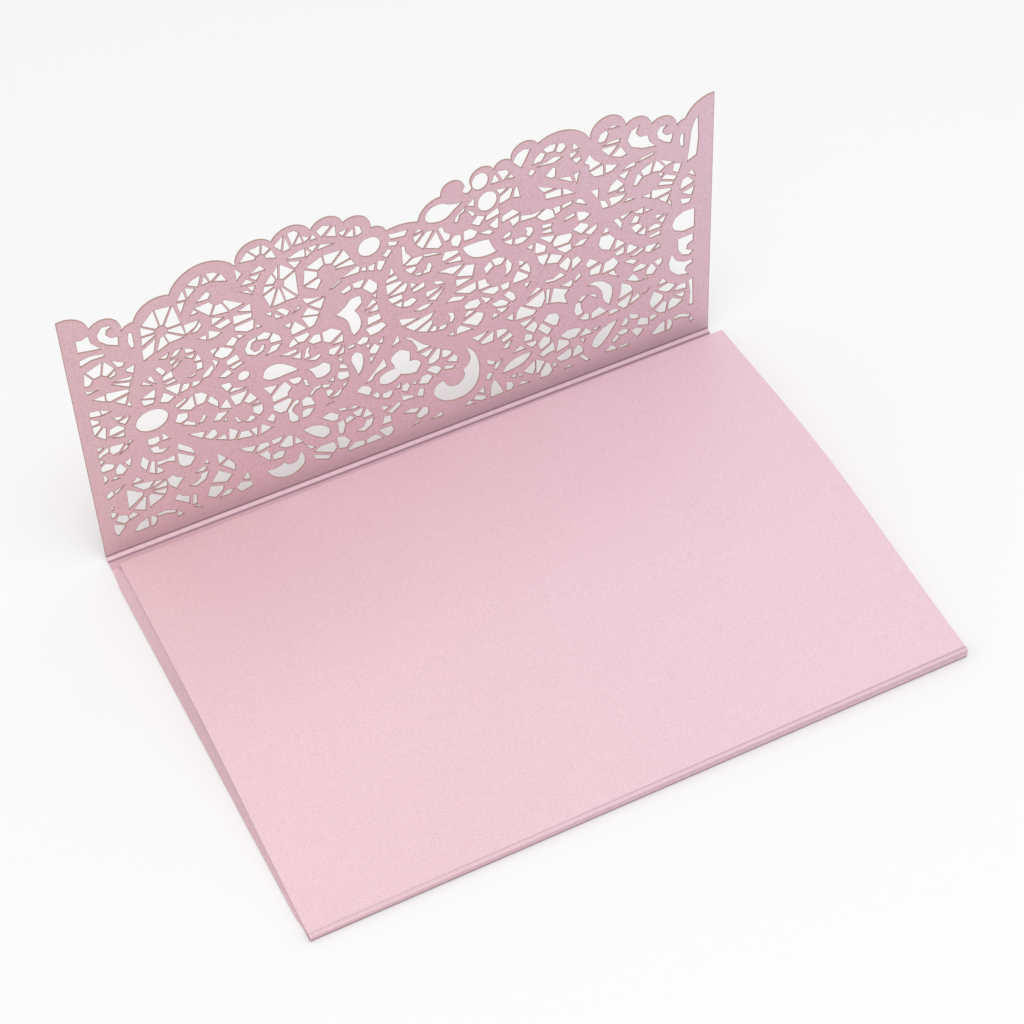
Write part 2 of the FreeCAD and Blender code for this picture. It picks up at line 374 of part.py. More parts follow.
LOWER_RIGHT = """
106.9,54.1 109.8,56.8 112.4,56.1 111.5,52.4
106.8,52.9 111.7,51.6 106.9,50.4
106.1,48.6 112.4,49.8 112.3,47.2 110.4,46.6
113.2,49.7 115.2,49.6 115.6,47.8 116.6,46.5 113.3,46.5
103.4,46.2 105.5,47.4 109.3,46.0 108.0,45.2
115.1,53.6 116.8,55.0 117.6,52.9 115.7,51.2
117.4,55.5 119.5,55.4 121.3,54.2 120.0,52.7 118.5,52.9
121.8,53.7 123.2,51.4 122.8,49.3 121.0,48.1 121.6,50.0 121.4,52.0
125.5,48.7 127.4,49.9 128.4,48.0 128.5,46.0
123.4,45.6 124.8,48.1 128.0,45.3 127.5,44.4 123.6,44.3
89.8,46.3 92.7,45.4 95.3,44.4 90.6,43.6
91.3,42.8 99.9,44.8 98.7,42.8 93.9,40.4
94.6,39.7 98.8,42.1 99.1,40.7 97.4,38.4
103.9,42.4 105.3,41.7 105.6,39.9 104.7,38.6 104.2,39.2 104.6,40.6
108.7,42.7 110.4,43.7 112.8,43.4 113.4,41.4 112.3,40.4 109.2,41.2
107.7,36.8 112.3,38.8 114.3,37.6 113.6,35.5 112.2,33.9
105.9,33.5 106.3,35.6 107.1,36.2 110.7,33.4
113.7,45.4 116.0,45.8 118.7,45.4 119.0,43.7 117.5,43.0
119.6,45.4 122.4,45.5 121.9,43.4 120.4,43.1
120.5,41.3 121.9,42.2 123.4,40.6 123.8,38.4 122.9,38.1
116.6,39.8 119.5,40.2 121.8,38.1 120.9,37.4 118.2,38.1
123.7,30.6 124.2,33.6 125.2,35.0 129.9,31.4 128.9,30.3
126.5,34.9 132.4,37.8 132.6,34.5 131.5,32.1 130.5,32.3
127.2,36.8 130.4,39.8 131.6,38.6
133.3,37.6 134.3,37.5 133.5,32.4 133.0,32.6
135.4,37.2 139.8,34.7 138.4,33.0 139.2,30.0 136.9,31.4 134.2,32.3
137.4,37.2 139.3,37.4 141.0,37.9 141.0,36.2 140.3,35.5
94.9,31.3 99.2,31.8 96.9,29.2
97.1,26.4 97.4,28.2 100.2,31.0 100.9,30.2 100.2,27.0 98.5,26.1
101.4,29.6 102.6,29.3 104.3,27.7 102.7,26.6 101.3,27.0
102.5,25.1 104.8,26.6 105.8,25.0 105.5,23.5
96.4,24.4 97.6,25.1 99.1,25.0 100.9,23.1 99.5,21.6
110.3,30.1 115.4,30.5 112.2,28.1
112.6,27.2 116.9,29.8 116.5,26.2 113.8,26.2
117.8,29.6 119.9,29.2 121.3,27.9 117.9,26.3
119.1,25.5 121.8,26.9 122.4,25.2 119.8,24.1
122.2,18.8 124.6,20.5 126.2,18.8
115.0,5.3 115.3,9.5 116.2,11.6 117.3,9.5 118.9,5.3
109.5,7.0 110.8,8.0 113.2,6.7 113.5,5.4 112.2,5.4
120.0,8.7 121.5,8.0 122.1,6.2 121.4,5.3 120.0,5.4
125.3,10.3 128.9,13.0 128.9,9.9 128.2,8.0
129.4,13.1 132.0,11.1 129.8,7.3 129.3,8.6
130.3,5.5 130.8,7.9 132.6,10.6 133.6,8.9 134.1,6.6 133.2,5.3
135.4,10.6 137.6,11.6 140.3,12.6 140.2,9.6 139.3,8.7 137.0,8.9
135.7,12.9 139.6,14.0 139.4,15.7 136.4,17.5
130.3,14.4 134.8,17.5 135.2,13.9 133.4,13.9 131.8,13.1
130.3,18.6 131.9,20.8 133.9,19.3 133.7,17.5 131.0,16.0
126.4,20.3 129.7,20.5 129.4,18.9 128.3,18.4
125.8,21.6 126.4,24.2 128.5,23.0 128.3,21.2
126.3,26.1 129.2,27.8 130.1,25.5 129.1,23.5
124.7,29.0 129.3,29.2 126.3,27.0
130.3,24.3 131.4,25.9 134.4,22.4 133.2,20.8
132.0,26.6 133.6,28.3 135.8,27.8 136.9,25.6 136.1,23.3 135.2,23.4
141.5,49.5 143.5,50.8 146.2,51.0 144.5,49.2
136.5,51.0 140.8,51.0 141.0,49.0 139.2,48.4
130.8,50.8 134.3,50.2 132.7,46.8 131.5,48.3
134.9,49.8 138.4,47.8 136.8,45.9 133.5,47.0
137.1,44.6 139.8,46.6 140.7,44.6 139.6,41.7
141.3,45.2 142.7,45.6 143.8,43.4 141.0,41.5
132.8,41.1 135.2,40.7 137.4,42.0 138.9,40.3 135.5,39.8 133.2,40.3
149.3,47.0 149.9,49.4 152.5,49.2 154.2,46.9 152.6,43.6 150.3,44.9
154.9,46.3 157.4,44.0 153.9,42.9
145.2,41.4 146.6,43.0 149.2,40.7 146.2,39.9
146.5,38.8 150.3,39.9 149.3,36.5 146.7,36.9
151.1,39.4 153.7,40.4 155.2,37.8 153.8,36.3 150.2,36.0
154.3,41.7 157.1,43.0 156.8,40.6 155.0,40.5
157.8,41.0 158.5,43.2 161.3,40.7 158.3,39.8
157.0,37.2 158.8,37.5 161.2,36.0 160.0,35.3
163.6,38.4 164.0,40.1 167.4,39.9 165.0,37.4
142.0,28.5 143.4,28.3 143.6,25.7 144.1,24.1 142.4,23.6 141.5,26.0
142.9,22.3 145.0,23.5 145.9,22.9 145.9,20.8 144.3,21.4
146.9,20.5 146.8,22.8 149.1,24.1 151.5,21.3
152.2,19.6 152.6,21.2 154.0,21.1 155.6,19.9
155.0,24.1 156.0,26.6 156.2,29.8 158.9,27.9 159.6,25.5
157.8,30.2 159.6,31.6 160.4,30.9 161.8,28.3 160.6,28.7
159.8,33.2 162.0,34.5 164.3,32.9 163.0,32.3 160.2,32.3
164.2,31.5 165.5,33.1 167.0,30.3 165.9,29.0 163.9,29.6
166.5,33.4 168.7,33.9 168.8,32.2 167.8,31.3
155.9,13.6 157.5,16.3 158.3,14.3 157.4,13.3
158.6,17.2 161.6,15.6 161.3,14.4 160.2,14.5 159.0,15.2
161.3,13.0 162.2,14.0 164.5,13.0 164.6,10.4 161.6,11.4
159.2,10.4 160.8,10.9 163.1,9.3 161.3,7.3
155.0,11.8 156.6,12.3 158.4,11.2 157.8,10.2 155.9,10.2
151.0,5.9 152.6,7.8 153.8,6.8 154.5,5.4
140.7,8.7 141.1,11.2 142.4,12.9 143.7,11.0 143.8,9.3
136.9,18.5 139.3,19.7 141.9,19.4 143.7,18.2 141.8,16.1 139.8,16.1
142.9,15.5 144.9,18.0 146.9,15.3
"""

# The large plain eyes: drops, leaves, moons, a heart and a trefoil.
EYES = """
60.2,41.8 57.4,44.8 54.2,46.6 51.2,45.8 50.4,43.5 52.3,41.8 56.0,41.7
62.8,40.8 65.0,40.5 67.4,41.1 69.2,39.4 69.0,37.3 66.8,36.1 65.0,36.6 64.4,38.6
75.3,38.6 76.5,40.4 78.0,39.4 78.5,36.6 77.9,33.8 76.8,32.1 76.4,34.4 75.7,36.6
48.0,9.4 50.6,9.2 53.1,10.1 54.2,8.8 56.2,8.8 57.4,10.2 57.8,11.9 58.8,9.4 58.3,6.8 56.6,5.3 51.3,5.2 49.4,6.8
59.6,19.4 62.0,19.7 64.9,18.5 66.8,16.2 66.6,14.4 65.2,13.8 63.2,15.2 61.2,17.3
72.3,55.8 74.9,57.4 77.4,59.6 79.5,59.3 79.7,56.9 77.5,54.8 78.8,51.6 78.3,48.0 76.8,46.8 76.1,48.9 75.5,52.4 74.0,54.4
86.4,32.4 87.4,34.6 89.6,35.3 91.7,33.9 91.9,31.8 91.6,30.1 93.8,29.5 94.8,27.4 93.5,25.3 91.2,25.6 88.9,26.7 87.0,25.2 84.4,24.9 82.6,26.2 82.8,28.2 84.8,29.2 87.4,29.4 87.2,30.9
99.3,77.5 100.6,79.9 103.5,80.6 106.4,79.3 109.9,78.7 107.2,76.9 105.3,75.3 102.5,75.0 100.3,75.8
109.4,63.2 113.0,63.4 116.9,62.9 117.5,60.4 118.8,57.9 115.0,57.7 112.2,58.7 110.3,60.9
108.5,27.5 110.6,24.7 111.8,20.6 111.9,16.6 110.9,12.9 108.6,10.4 105.3,9.6 101.8,10.3 99.1,12.6 98.1,15.6 99.1,17.4 101.3,18.1 101.9,16.3 103.3,15.1 105.3,14.9 107.0,16.2 107.6,18.2 107.2,19.8 108.9,21.2 109.6,23.4 109.2,25.8
118.9,12.8 121.0,15.6 124.2,16.8 127.9,16.7 126.0,14.2 123.0,13.0
145.6,33.5 148.4,33.9 151.4,32.0 153.2,29.3 153.0,26.2 152.3,23.8 150.5,26.6 150.2,29.4 148.6,32.0
154.8,16.6 151.2,15.9 147.4,12.4 146.7,10.2 148.1,8.7 150.1,9.8 152.6,13.2
"""

# Round and oval eyes: centre, half width, half height.
OVALS = "19.3,42.9,4.35,3.5 45.3,46.7,1.5,1.5 83.3,74.9,2.95,2.95 115.2,83.4,2.2,2.6 117.0,76.0,2.6,3.1"

STRAIGHT_CELLS = (
    LEFT_POST, UPPER_LEFT, UPPER_RINGS, MIDDLE_LEFT, LOWER_LEFT, LOWER_MIDDLE,
    MIDDLE, UPPER_RIGHT, RIGHT_POST, LOWER_RIGHT,
)


def vector(across, up, out=0.0):
    return FreeCAD.Vector(across, up, out)


def on_flap(across, up):
    """A drawn point, stretched from the drawing's flap to this one."""
    return vector(across * WIDTH / DRAWN_WIDTH, up * FLAP_TOP / DRAWN_TOP)


def point(text):
    """One "across,up" pair as a vector in the flap's own plane."""
    across, up = text.split(",")
    return on_flap(float(across), float(up))


def points(line):
    return [point(pair) for pair in line.split()]


# ---- outlines through points ----
def leftward(direction):
    return vector(-direction.y, direction.x)


def signed_angle(start, end):
    """Angle in radians from one direction to another, positive leftward."""
    return math.atan2(start.x * end.y - start.y * end.x, start.dot(end))


def arc_from(start, tangent, end):
    """Arc from start to end that leaves start along the tangent."""
    chord = end - start
    turn = signed_angle(chord, tangent)
    if abs(turn) < math.radians(2.0):
        return Part.LineSegment(start, end).toShape()
    crown = (start + end) * 0.5 + leftward(chord) * (0.5 * math.tan(turn / 2.0))
    return Part.Arc(start, crown, end).toShape()


def smooth_span(start, tangent_in, end, tangent_out):
    """One arc if it nearly meets both tangents, else two arcs that meet smoothly."""
    span = end - start
    mismatch = signed_angle(tangent_in, span) - signed_angle(span, tangent_out)
    if abs(mismatch) < math.radians(ARC_TOLERANCE):
        return [arc_from(start, mirrored_half(tangent_in, tangent_out, span), end)]
    both = tangent_in + tangent_out
    reach = span.dot(both)
    excess = 2.0 * (1.0 - tangent_in.dot(tangent_out))
    if excess < 1e-6:
        step = span.dot(span) / (2.0 * span.dot(tangent_out))
    else:
        step = (math.sqrt(reach * reach + excess * span.dot(span)) - reach) / excess
    joint = (start + end + (tangent_in - tangent_out) * step) * 0.5
    first = arc_from(start, tangent_in, joint)
    second = arc_from(end, tangent_out * -1.0, joint)
    return [first, second]


def mirrored_half(tangent_in, tangent_out, span):
    """Start tangent of the arc that shares its error between its two ends."""
    half_turn = (signed_angle(tangent_in, span) + signed_angle(span, tangent_out)) / 2.0
    along_span = FreeCAD.Vector(span).normalize()
    return along_span * math.cos(half_turn) - leftward(along_span) * math.sin(half_turn)


def tangent_through(before, here, after):
    """Tangent at a point of a smooth outline, the nearer neighbour counting more."""
    coming = here - before
    going = after - here
    mixed = coming * (going.Length / coming.Length) + going * (coming.Length / going.Length)
    return mixed.normalize()


def smooth_wire(outline):
    """Closed outline of arcs through points, with corners where it turns sharply."""
    count = len(outline)
    tangents = []
    for index in range(count):
        before = outline[index - 1]
        here = outline[index]
        after = outline[(index + 1) % count]
        turn = abs(signed_angle(here - before, after - here))
        if turn > math.radians(CORNER_TURN):
            tangents.append(None)
        else:
            tangents.append(tangent_through(before, here, after))
    edges = []
    for index in range(count):
        start = outline[index]
        end = outline[(index + 1) % count]
        leaving = tangents[index]
        arriving = tangents[(index + 1) % count]
        if leaving and arriving:
            edges += smooth_span(start, leaving, end, arriving)
        elif leaving:
            edges.append(arc_from(start, leaving, end))
        elif arriving:
            edges.append(arc_from(end, arriving * -1.0, start))
        else:
            edges.append(Part.LineSegment(start, end).toShape())
    return closed(edges)


def widened(outline):
    """An opening's points, moved outward by the kerf all round."""
    steps = [(here - before).normalize() for before, here in zip(outline[-1:] + outline, outline)]
    turns = [signed_angle(*pair) for pair in zip(steps, steps[1:] + steps[:1])]
    outward = -1.0 if sum(turns) > 0.0 else 1.0
    moved = []
    for here, coming, going in zip(outline, steps, steps[1:] + steps[:1]):
        side = leftward(coming + going).normalize()
        reach = min(1.0 / side.dot(leftward(coming)), SHARP_REACH)
        moved.append(here + side * (outward * KERF * reach))
    return moved


def closed(edges):
    return Part.Wire(Part.__sortEdges__(edges))


def straight_wire(outline):
    return Part.makePolygon(outline + [outline[0]])


# ---- hubs: cells between bars that run out from a small solid disc ----
def shifted_along(centre, rim, side, radius):
    """Point on a hub's circle where one side of the bar to a rim point leaves it."""
    spoke = (rim - centre).normalize()
    offset = leftward(spoke) * (side * BAR / 2.0)
    return centre + offset + spoke * math.sqrt(radius * radius - BAR * BAR / 4.0)


def hub_cell(centre, radius, first, second):
    """The cell between the bars to two rim points, the second leftward of the first."""
    outer_first = first + leftward((first - centre).normalize()) * (BAR / 2.0)
    outer_second = second - leftward((second - centre).normalize()) * (BAR / 2.0)
    inner_first = shifted_along(centre, first, 1.0, radius)
    inner_second = shifted_along(centre, second, -1.0, radius)
    inner = [inner_second, inner_first]
    opening = signed_angle(inner_first - centre, inner_second - centre)
    if opening * radius < SLIVER:
        half = signed_angle(first - centre, second - centre) / 2.0
        middle = ((first - centre).normalize() + (second - centre).normalize()).normalize()
        inner = [centre + middle * (BAR / 2.0 / math.sin(half))]
    return [outer_first, outer_second] + inner


def hub_cells(centre_text, radius, rim_text):
    centre = point(centre_text)
    cells = []
    previous = None
    for word in rim_text.split():
        if word == "|":
            previous = None
            continue
        rim = point(word)
        if previous:
            ordered = (previous, rim)
            if signed_angle(previous - centre, rim - centre) < 0.0:
                ordered = (rim, previous)
            cells.append(hub_cell(centre, radius, ordered[0], ordered[1]))
        previous = rim
    return cells


# ---- the lace flap, drawn flat ----
def flap_outline():
    edges = [Part.LineSegment(vector(0, FLAP_ROOT), vector(WIDTH, FLAP_ROOT)).toShape()]
    starts = [on_flap(*scallop[0]) for scallop in SCALLOPS]
    crowns = [on_flap(*scallop[1]) for scallop in SCALLOPS]
    corner = on_flap(DRAWN_WIDTH, DRAWN_TOP)
    edges.append(Part.LineSegment(vector(0, FLAP_ROOT), starts[0]).toShape())
    edges.append(Part.LineSegment(vector(WIDTH, FLAP_ROOT), corner).toShape())
    for start, crown, end in zip(starts, crowns, starts[1:] + [corner]):
        edges.append(Part.Arc(start, crown, end).toShape())
    return closed(edges)


def lace_wires():
    wires = []
    for centre, radius, rim in HUBS:
        wires += [straight_wire(widened(cell)) for cell in hub_cells(centre, radius, rim)]
    for block in STRAIGHT_CELLS:
        wires += [straight_wire(widened(points(line))) for line in block.strip().splitlines()]
    wires += [smooth_wire(widened(points(line))) for line in EYES.strip().splitlines()]
    for oval in OVALS.split():
        wires.append(oval_wire(oval))
    return wires


def oval_wire(text):
    across, up, half_width, half_height = [float(number) for number in text.split(",")]
    rim = []
    for step in range(OVAL_STEPS):
        angle = 2.0 * math.pi * step / OVAL_STEPS
        rim.append(on_flap(across + half_width * math.cos(angle), up + half_height * math.sin(angle)))
    return smooth_wire(widened(rim))


def flap_root():
    """Middle of the card's thickness at the flap's own crease, in the YZ plane."""
    return (DEPTH / 2.0 + SPINE_BACK, CARD / 2.0 + SPINE_RISE)


def lace_flap():
    face = Part.makeFace([flap_outline()] + lace_wires(), "Part::FaceMakerBullseye")
    flap = face.extrude(vector(0, 0, CARD))
    lean = math.radians(FLAP_LEAN)
    back, rise = flap_root()
    flap.rotate(vector(0, 0), vector(1, 0), 90.0 - FLAP_LEAN)
    half = CARD / 2.0
    flap.translate(vector(-WIDTH / 2.0, back + half * math.cos(lean), rise - half * math.sin(lean)))
    return flap


# ---- the folded sheet ----
def along(start, direction, distance):
    return (start[0] + direction[0] * distance, start[1] + direction[1] * distance)


def unit(start, end):
    length = math.hypot(end[0] - start[0], end[1] - start[1])
    return ((end[0] - start[0]) / length, (end[1] - start[1]) / length)


def turned_left(direction):
    return (-direction[1], direction[0])


def bent_sheet(path, rise=0.0):
    """Card bent at each inner point of a (y, z) path, run along the width, up by rise."""
    left = side_edges(path, 1.0)
    right = side_edges(path, -1.0)
    ends = [
        Part.LineSegment(left[0].Vertexes[0].Point, right[0].Vertexes[0].Point).toShape(),
        Part.LineSegment(left[-1].Vertexes[-1].Point, right[-1].Vertexes[-1].Point).toShape(),
    ]
    face = Part.Face(closed(left + right + ends))
    face.translate(vector(-WIDTH / 2.0, 0))
    return face.extrude(vector(WIDTH, 0, rise))


def side_edges(path, side):
    """Edges along the left (1) or right (-1) side of card that is bent along a path."""
    directions = [unit(start, end) for start, end in zip(path, path[1:])]
    arriving = [directions[0]] + directions
    leaving = directions + [directions[-1]]
    edges = []
    previous = None
    for coming, here, going in zip(arriving, path, leaving):
        stops = side_stops(coming, here, going, side)
        if previous:
            edges.append(line_yz(previous, stops[0]))
        if len(stops) == 3:
            edges.append(Part.Arc(yz(stops[0]), yz(stops[1]), yz(stops[2])).toShape())
        previous = stops[-1]
    return edges


def side_stops(coming, here, going, side):
    """Where a side of the card passes a corner: a point inside the bend, three round it."""
    middle = unit((0.0, 0.0), turned_left((coming[0] + going[0], coming[1] + going[1])))
    straight = turned_left(coming)
    miter = side * CARD / 2.0 / (middle[0] * straight[0] + middle[1] * straight[1])
    turn = coming[0] * going[1] - coming[1] * going[0]
    if turn * side >= 0.0:
        return [along(here, middle, miter)]
    inside = along(here, middle, -miter)
    normals = (straight, middle, turned_left(going))
    return [along(inside, normal, side * CARD) for normal in normals]


def yz(pair):
    return FreeCAD.Vector(0, pair[0], pair[1])


def line_yz(start, end):
    return Part.LineSegment(yz(start), yz(end)).toShape()


def folded_strip():
    """The front fold's lower bend, the back panel, the spine and the flap's foot."""
    half = CARD / 2.0
    front = half - DEPTH / 2.0
    lean = math.radians(FLAP_LEAN)
    foot = flap_root()
    path = [
        (front, CARD + half),
        (front, half),
        (DEPTH / 2.0, half),
        foot,
        along(foot, (math.sin(lean), math.cos(lean)), FLAP_ROOT),
    ]
    return bent_sheet(path)


def front_wall():
    """The front fold's wall between its two bends, taller at the right."""
    left = -WIDTH / 2.0
    right = WIDTH / 2.0
    front = -DEPTH / 2.0
    top = FRONT_WALL - CARD
    corners = [
        FreeCAD.Vector(left, front, CARD),
        FreeCAD.Vector(right, front, CARD),
        FreeCAD.Vector(right, front, top + RIGHT_RISE),
        FreeCAD.Vector(left, front, top),
    ]
    return Part.Face(straight_wire(corners)).extrude(FreeCAD.Vector(0, CARD, 0))


def front_bend():
    """The front fold's upper bend, on to the pocket front's score line."""
    half = CARD / 2.0
    front = half - DEPTH / 2.0
    path = [
        (SCORE_INSET - DEPTH / 2.0, SPRING[0] - half),
        (front, FRONT_WALL - half),
        (front, FRONT_WALL - half - CARD),
    ]
    return bent_sheet(path, RIGHT_RISE)


# ---- the arched pocket front and what is taped under it ----
def across_at(side, inset):
    """Share of the pocket front's width at an inset from its left (-1) or right (1) edge."""
    return 0.5 + side * (0.5 - inset / WIDTH)


def spring_curve(across, drop):
    """The pocket front's top, lowered by drop: 0 across is its left edge, 1 its right."""
    start = SCORE_INSET - DEPTH / 2.0
    reach = DEPTH - MOUTH_GAP - SCORE_INSET
    steps = len(SPRING) - 1
    shares = [index / float(steps) for index in range(steps + 1)]
    stations = []
    for share, height in zip(shares, SPRING):
        x = (across - 0.5) * WIDTH + SHIFT * share
        z = height + RIGHT_RISE * across - drop
        stations.append(FreeCAD.Vector(x, start + reach * share, z))
    curve = Part.BSplineCurve()
    curve.interpolate(Points=stations, Parameters=shares)
    return curve


def sprung_sheet(sides, drop, thickness, shares):
    """Thin sheet that follows the pocket front, from one share of its width to another."""
    left, right = sorted(sides)
    upper = spring_curve(left, drop).toShape(*shares)
    lower = spring_curve(left, drop + thickness).toShape(*shares)
    section = Part.Face(closed([
        upper,
        lower,
        Part.LineSegment(upper.Vertexes[0].Point, lower.Vertexes[0].Point).toShape(),
        Part.LineSegment(upper.Vertexes[1].Point, lower.Vertexes[1].Point).toShape(),
    ]))
    return section.extrude(FreeCAD.Vector(WIDTH, 0, RIGHT_RISE) * (right - left))


def share_at(distance):
    """Share of the pocket front's spring at a distance from the front fold."""
    return (distance - SCORE_INSET) / (DEPTH - MOUTH_GAP - SCORE_INSET)


def tab_shares(margin=0.0):
    first = SCORE_INSET + TAB_FRONT + margin
    last = DEPTH - MOUTH_GAP - TAB_MOUTH - margin
    return (share_at(first), share_at(last))


def tab_flange(side):
    """The part of a tab that is taped under the pocket front.  Side is -1 left, 1 right."""
    sides = (across_at(side, TAB_INSET), across_at(side, TAB_INSET + TAB_REACH))
    return sprung_sheet(sides, CARD + TAPE, CARD, tab_shares())


def tab_wall(side):
    """The part of a tab that rises from the back panel's edge, bowing out, to its fold."""
    half = CARD / 2.0
    fold = spring_curve(across_at(side, TAB_INSET + half), CARD + TAPE + half)
    first, last = tab_shares()
    sections = []
    for station in TAB_STATIONS:
        bulge = TAB_BULGE if 0.0 < station < 1.0 else 0.0
        top = fold.value(first + (last - first) * station)
        path = [
            (side * (WIDTH / 2.0 - half), half),
            (side * (WIDTH / 2.0 - half + bulge), half + CARD),
            (top.x, top.z),
        ]
        sections.append(wall_section(path, top.y))
    return Part.makeLoft(sections, True, True)


def wall_section(path, back):
    """Cross-section of a side wall along its (x, z) path from its foot to its fold."""
    foot, waist, fold = path
    half = CARD / 2.0
    lower = turned_left(unit(foot, waist))
    upper = turned_left(unit(waist, fold))
    middle = unit((0.0, 0.0), (lower[0] + upper[0], lower[1] + upper[1]))
    corners = [
        along(foot, lower, half),
        along(waist, middle, half),
        along(fold, upper, half),
        along(fold, upper, -half),
        along(waist, middle, -half),
        along(foot, lower, -half),
    ]
    return straight_wire([FreeCAD.Vector(x, back, z) for x, z in corners])


def glue_strip(side):
    near = TAB_INSET + TAPE_MARGIN
    sides = (across_at(side, near), across_at(side, near + TAPE_WIDTH))
    return sprung_sheet(sides, CARD, TAPE, tab_shares(TAPE_MARGIN))


def lace_jacket():
    pocket_front = sprung_sheet((0.0, 1.0), 0.0, CARD, (0.0, 1.0))
    parts = [front_wall(), front_bend(), pocket_front, lace_flap()]
    for side in (-1, 1):
        parts += [tab_flange(side), tab_wall(side)]
    sheet = folded_strip().multiFuse(parts)
    return sheet.removeSplitter()


def invitation_card():
    corner = FreeCAD.Vector(-INSERT_LONG / 2.0, CARD + INSERT_PLAY - DEPTH / 2.0, CARD)
    return Part.makeBox(INSERT_LONG, INSERT_SHORT, INSERT_CARD, corner)


def save(shape, name):
    shape.exportStep("parts/" + name + ".step")


os.makedirs("parts", exist_ok=True)
save(lace_jacket(), "lace_jacket")
save(invitation_card(), "invitation_card")
save(glue_strip(-1), "glue_strip_left")
save(glue_strip(1), "glue_strip_right")
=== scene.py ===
import math

import bmesh
import bpy
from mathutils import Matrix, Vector


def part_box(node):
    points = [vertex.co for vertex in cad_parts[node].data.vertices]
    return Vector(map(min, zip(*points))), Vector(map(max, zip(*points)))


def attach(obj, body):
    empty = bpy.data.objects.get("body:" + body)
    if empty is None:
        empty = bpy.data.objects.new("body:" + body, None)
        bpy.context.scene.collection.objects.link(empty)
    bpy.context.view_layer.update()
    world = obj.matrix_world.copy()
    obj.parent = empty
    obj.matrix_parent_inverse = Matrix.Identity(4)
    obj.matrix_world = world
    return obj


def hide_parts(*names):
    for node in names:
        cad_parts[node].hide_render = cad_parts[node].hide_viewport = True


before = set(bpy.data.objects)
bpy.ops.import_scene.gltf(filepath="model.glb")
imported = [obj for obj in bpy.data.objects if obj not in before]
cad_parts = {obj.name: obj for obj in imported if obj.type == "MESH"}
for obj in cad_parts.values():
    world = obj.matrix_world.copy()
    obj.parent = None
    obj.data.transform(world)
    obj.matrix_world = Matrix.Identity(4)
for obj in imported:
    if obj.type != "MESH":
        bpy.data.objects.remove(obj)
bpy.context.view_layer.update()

# ---- Folded jacket ----
# One sheet of pearl card, laser cut and creased by machine: the lace flap, the spine, the
# back panel, the front fold, the pocket front and its two side tabs.  The laser leaves a
# thin scorched rim round every opening and along the scalloped edge.
WELD = 1e-6
SMOOTH_FOLD = math.radians(24.0)

# Rose and lilac, each lighter where seen face on and deeper at a slant: a painted sheen.
ROSE_DEEP = (0.716, 0.440, 0.478, 1.0)
ROSE_SHEEN_FACE_ON = (0.800, 0.556, 0.600, 1.0)
LILAC_DEEP = (0.706, 0.462, 0.540, 1.0)
LILAC_SHEEN_FACE_ON = (0.796, 0.576, 0.660, 1.0)
CARD_MAUVE = (0.430, 0.220, 0.270, 1.0)
# Painted shade for the creases, the score line, the front fold, the mouth and the foot of the front
# wall.
PAINTED_CREASE_SHADE = (0.34, 0.19, 0.25, 1.0)
SCORCH_TAN = (0.340, 0.195, 0.125, 1.0)

# The pearl turns from rose at the left to lilac at the right, and a painted sheen makes it
# lighter where it is seen face on.  The raised flap has more grain than the flat card.
TINT_REACH = 0.09
SHEEN_BLEND = 0.35
SHEEN_SPAN = (0.15, 0.95)
FINE_SCALE = 1900.0
CLOUD_SCALE = 14.0
CLOUD_TONE = 0.10
CARD_GRAIN = 0.57
FLAP_MORE_GRAIN = 0.50
MAUVE_TONE = 0.10
PEARL_ROUGH = 0.40
PEARL_VARIES = 0.16

# Where shade is painted on the card, at its creases, score line, front fold, mouth and the
# foot of its front wall: places along Y, heights along Z and, for each, how deep the painted
# shade goes, from 0 for none to 1 for full.
jacket_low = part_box("lace_jacket")[0]
SCORE_GAP = 0.0012
SCORE_BACK = jacket_low[1] + SCORE_GAP
SCORE_HALF = 0.00022
SCORE_LOW = 0.0015
SCORE_SHADE = 0.18
# Painted shade on the front fold below the score line.
FOLD_BAND_SHADE = 0.14
# A painted contact shadow along the foot of the front wall.
UNDER_TOP = 0.0007
UNDER_SHADOW = 0.75
SPINE_FRONT = 0.06665
SPINE_BACK = 0.06800
SPINE_HALF = 0.00030
SPINE_TOP = 0.0009
RIDGE_SHADE = 0.14
CREASE_HALF = 0.00026
FOOT_TOP = 0.0018
FOOT_SHADE = 0.50
# A painted shadow on the back panel under the pocket's mouth.
MOUTH_MIDDLE = 0.0650
MOUTH_HALF = 0.0015
PANEL_TOP = 0.0004
MOUTH_SHADOW = 0.20

# The side walls stand beyond this place along X and look at least this much sideways.
# The cut flap is shaded flat above this height.
SIDE_EDGE = 0.0895
SIDE_SLOPE = 0.25
# How deep the painted shade on the side walls goes, darker than the top as they lean sideways.
SIDE_WALL_SHADE = 0.22
FLAT_ABOVE = 0.003

# A rim lies just off the card's face, scorched at the cut and clean at its other edge.  A
# face that looks forward or back is the card's own; one that doesn't is a cut wall.
SCORCH_WIDTH = 0.00022
RIM_LIFT = 0.000008
BEFORE_FLAP = 0.0005
WALL_FACING = 0.9
CARD_FACING = 0.99
RAGGED_SCALE = 900.0
RAGGED_DEPTH = 0.9
RAGGED_LEAST = 0.45
BURN_SPAN = (0.05, 0.80)
BURN_TONE = 0.85

